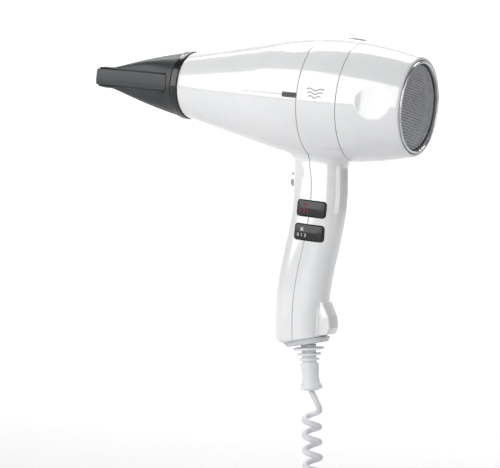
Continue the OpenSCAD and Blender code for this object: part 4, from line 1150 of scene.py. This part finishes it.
def curl_pitch(left, z):
    """Pitch of the curl: open where it hangs, close in the hank, wider round the fold and at its end."""
    pitch = LOOSE_PITCH + (FIRM_PITCH - LOOSE_PITCH) * smooth_step(*FIRM_FROM, -z)
    pitch += (FOLD_PITCH - FIRM_PITCH) * smooth_step(*FOLD_FROM, -z)
    run_out = 0.8 * CURL_END
    return pitch + (END_PITCH - FIRM_PITCH) * (1 - smooth_step(run_out, run_out + 6, left))


def cord_path():
    """The middle of the cord: the lead, the turns of the curl along its route, and the tail to the plug."""
    spine = curve_through(CURL_ROUTE, 40)
    lengths = [0.0]
    for a, b in zip(spine, spine[1:]):
        lengths.append(lengths[-1] + (b - a).length)
    total = lengths[-1]

    def at(s):
        low, high = 0, len(lengths) - 1
        while high - low > 1:
            mid = (low + high) // 2
            if lengths[mid] <= s:
                low = mid
            else:
                high = mid
        f = (s - lengths[low]) / (lengths[high] - lengths[low])
        return spine[low].lerp(spine[high], f), (spine[high] - spine[low]).normalized()

    turn, s = START_TURN, CURL_START
    helix = []
    while s < total - 0.2:
        place, way = at(s)
        side = Vector((-way.z, 0, way.x))
        wide = CURL_R * smooth_step(0, CURL_END, total - s)
        helix.append(place + wide * (Vector((0, -cos(turn), 0)) + sin(turn) * side))
        turn += 2 * pi / TURN_STEPS
        s += curl_pitch(total - s, place.z) / TURN_STEPS
    lead = hermite(LEAD_FROM, boot_way, helix[0], (helix[1] - helix[0]).normalized(), LEAD_PULL, 24)
    tail = curve_through(TAIL_ROUTE, 5)[5:]
    link = hermite(helix[-1], (helix[-1] - helix[-2]).normalized(), tail[0], (tail[1] - tail[0]).normalized(),
                   LINK_PULL, 6)
    return lead[:-1] + helix + link[1:-1] + tail


def curly_cord():
    path = cord_path()
    cord = Shape()
    cord.tube(path, CORD_R, sides=12)
    made = cord.piece("curly_cord", "root", "cord_white", ["cord_lead", "cord_curl", "cord_tail"], sharp=60)
    return made, path


TIE_R, TIE_Z, TIE_HEIGHT, TIE_HALF = 9.0, -352.0, 14.0, 0.55
TIE_ENDS = ((23.0, -pi / 2), (-33.0, pi / 2))  # the middles of its round ends, and where each bend starts


def hank_tie():
    """A woven strap round the folded cord."""
    strap = Shape()
    bends = [(x + TIE_R * cos(a), TIE_R * sin(a), cos(a), sin(a))
             for x, start in TIE_ENDS for a in spread(start, start + pi, 23)]
    middle = []
    for p, q in neighbours(bends, True):
        n = max(1, int(hypot(q[0] - p[0], q[1] - p[1]) / 2))
        middle += [[a + (b - a) * i / n for a, b in zip(p, q)] for i in range(n)]
    band = panel(-TIE_HALF, TIE_HALF, 0, TIE_HEIGHT, 0.4, steps=3)
    rows = [[(x + nx * u, y + ny * u, TIE_Z + v) for u, v in band] for x, y, nx, ny in middle]
    strap.skin(rows, along=True)
    return strap.piece("hank_tie", "root", "tie_fabric", ["cord_tie"], sharp=60)


PLUG_X, PLUG_TOP, PLUG_LEN = -33.0, -356.0, 36.0
# Height above the pins' face, half width, half thickness and squareness of the plug's sections
PLUG_SECTIONS = ((0.0, 16.9, 5.9, 3.2), (0.15, 17.4, 6.4, 3.2), (0.6, 17.8, 6.8, 3.2), (1.2, 18, 7, 3.2),
                 (8, 18, 7, 3.0), (14, 17.4, 7, 2.9), (19, 15.6, 7, 2.8), (23, 13.2, 6.9, 2.6),
                 (27, 10.6, 6.8, 2.4), (30, 9.0, 6.8, 2.2), (33, 7.6, 6.8, 2.1), (35, 7.0, 6.8, 2.0),
                 (35.7, 6.6, 6.4, 2.0), (35.95, 6.0, 5.8, 2.0))
GRIP_BARS, GRIP_START, GRIP_PITCH, GRIP_HALF = 5, 7, 3.0, (11, 1.2)
NECK_TOP, NECK_BOTTOM, NECK_R, NECK_RIBS = -322, -356.2, (3.2, 5.2), 6
RIB_START, RIB_PITCH, RIB_R = -325.5, 4.6, (3.5, 0.26)


def mains_plug():
    """A flat two-pole plug: wide at the pins, drawn in to the cord, with grip bars on both faces."""
    plug = Shape()
    base = PLUG_TOP - PLUG_LEN
    rows = []
    for w, half_y, half_x, power in PLUG_SECTIONS:
        outline = [section(2 * pi * k / 96, half_y, half_x, power) for k in range(96)]
        rows.append([(PLUG_X + x, y, base + w) for y, x in outline])
    plug.skin(rows, caps=True)
    for side in (-1, 1):
        for i in range(GRIP_BARS):
            z = base + GRIP_START + GRIP_PITCH * i
            half = GRIP_HALF[0] - GRIP_HALF[1] * i
            bar = finer(panel(-half, half, z - 0.5, z + 0.5, 0.4, steps=3), 3)
            prism(plug, bar, lambda u, v, w, side=side: (PLUG_X + side * w, u, v), 6.0, 7.35, edge=0.3)
    return plug.piece("mains_plug", "root", "plug_white", ["plug_body"])


def plug_neck():
    """The plug's ribbed sleeve, which widens towards the plug."""
    corners = [(NECK_TOP, 0, 0), (NECK_TOP, NECK_R[0], 0.5)]
    for i in range(NECK_RIBS):
        w = RIB_START - RIB_PITCH * i
        r = RIB_R[0] + RIB_R[1] * i
        corners += [(w, r, 0.3), (w - 0.2, r - 0.9, 0.2), (w - 1.4, r - 0.9, 0.2), (w - 1.6, r + 0.05, 0.3)]
    corners += [(NECK_BOTTOM, NECK_R[1], 0), (NECK_BOTTOM, 0, 0)]
    return turned_piece("plug_neck", "root", "boot_white", ["plug_relief"], corners, 64, steps=3,
                        place=lambda a, u, v: (PLUG_X + u, v, a), closed=False)


# ---- Build ----

cord, cord_points = curly_cord()
tie = hank_tie()
plug = mains_plug()
neck = plug_neck()
put(CORD_EXIT)
[put(p) for p in cord_points]
front_casing()
mid_casing()
latch_plate()
cover_casing()
seam_shadow()
rim_ring()
woven_mesh()
collar_ring()
nozzle_body()
side_trim()
airflow_mark()
rocker_key("heat_key", "heat_rocker", HEAT_DROP, "123", heat_sign(), mark_red)
rocker_key("speed_key", "speed_rocker", HEAT_DROP + ROCKER_PITCH, "012", fan_sign(), mark_white)
cool_knob()
foot_band()
cord_boot()


# ---- Stage ----

FLOOR_Z, FLOOR_HALF, FLOOR_NEAR, FLOOR_FAR = -0.33, 9.0, -6.0, 3.2
BEND_R, BACKDROP_TOP = 1.2, 6.0
FLOOR_COLOUR, FLOOR_ROUGHNESS = (0.6, 0.6, 0.605), 0.75
WORLD_COLOUR, WORLD_STRENGTH = (0.96, 0.98, 1.0, 1), 0.13


def make_floor():
    """A pale floor that rises into a backdrop far behind."""
    profile = [(FLOOR_NEAR, 0.0), (FLOOR_FAR, 0.0)]
    profile += [(FLOOR_FAR + BEND_R * sin(a), BEND_R * (1 - cos(a))) for a in spread(0.1, pi / 2, 14)]
    profile += [(FLOOR_FAR + BEND_R, BACKDROP_TOP)]
    away = Vector((-camera_back.x, -camera_back.y, 0)).normalized()
    side = Vector((away.y, -away.x, 0))
    points = []
    for d, h in profile:
        for w in (-FLOOR_HALF, FLOOR_HALF):
            p = away * d + side * w
            points.append((p.x, p.y, FLOOR_Z + h))
    faces = [(2 * i, 2 * i + 1, 2 * i + 3, 2 * i + 2) for i in range(len(profile) - 1)]
    mesh = bpy.data.meshes.new("floor")
    mesh.from_pydata(points, [], faces)
    finish_mesh(mesh, 60)
    made, tree, shader = new_material("floor_paint", FLOOR_COLOUR, FLOOR_ROUGHNESS, specular=0.2)
    bump(tree, shader, noise(tree, 40), 0.0004)
    mesh.materials.append(made)
    into_scene("floor", mesh)


def area_light(name, place, aim, size, size_y, power):
    data = bpy.data.lights.new(name, "AREA")
    data.shape = "RECTANGLE"
    data.size = size
    data.size_y = size_y
    data.energy = power
    lamp = into_scene(name, data)
    lamp.location = place
    lamp.rotation_euler = (Vector(aim) - Vector(place)).to_track_quat("-Z", "Y").to_euler()


def set_stage(d, r, u):
    """A point at d in front of the object towards the camera, r to the right and u up, in metres."""
    ahead = Vector((camera_back.x, camera_back.y, 0)).normalized()
    right = Vector((0, 0, 1)).cross(ahead).normalized()
    return ahead * d + right * r + Vector((0, 0, u))


make_floor()
area_light("key", set_stage(1.5, -1.75, 0.85), (0, 0, 0.1), 3.8, 2.2, 66)
area_light("top", set_stage(-0.9, 0.1, 1.9), (0, 0, 0.05), 2.4, 0.7, 24)
area_light("side", set_stage(1.1, 2.1, 0.7), (0, 0, 0), 1.7, 2.0, 17)
area_light("backdrop_wash", set_stage(-2.2, 0, 2.6), set_stage(-4.4, 0, 0.2), 5.0, 1.0, 280)

world = bpy.data.worlds.new("studio")
bpy.context.scene.world = world
world.use_nodes = True
sky = world.node_tree.nodes["Background"]
sky.inputs["Color"].default_value = WORLD_COLOUR
sky.inputs["Strength"].default_value = WORLD_STRENGTH
bpy.context.scene.view_settings.view_transform = "Standard"
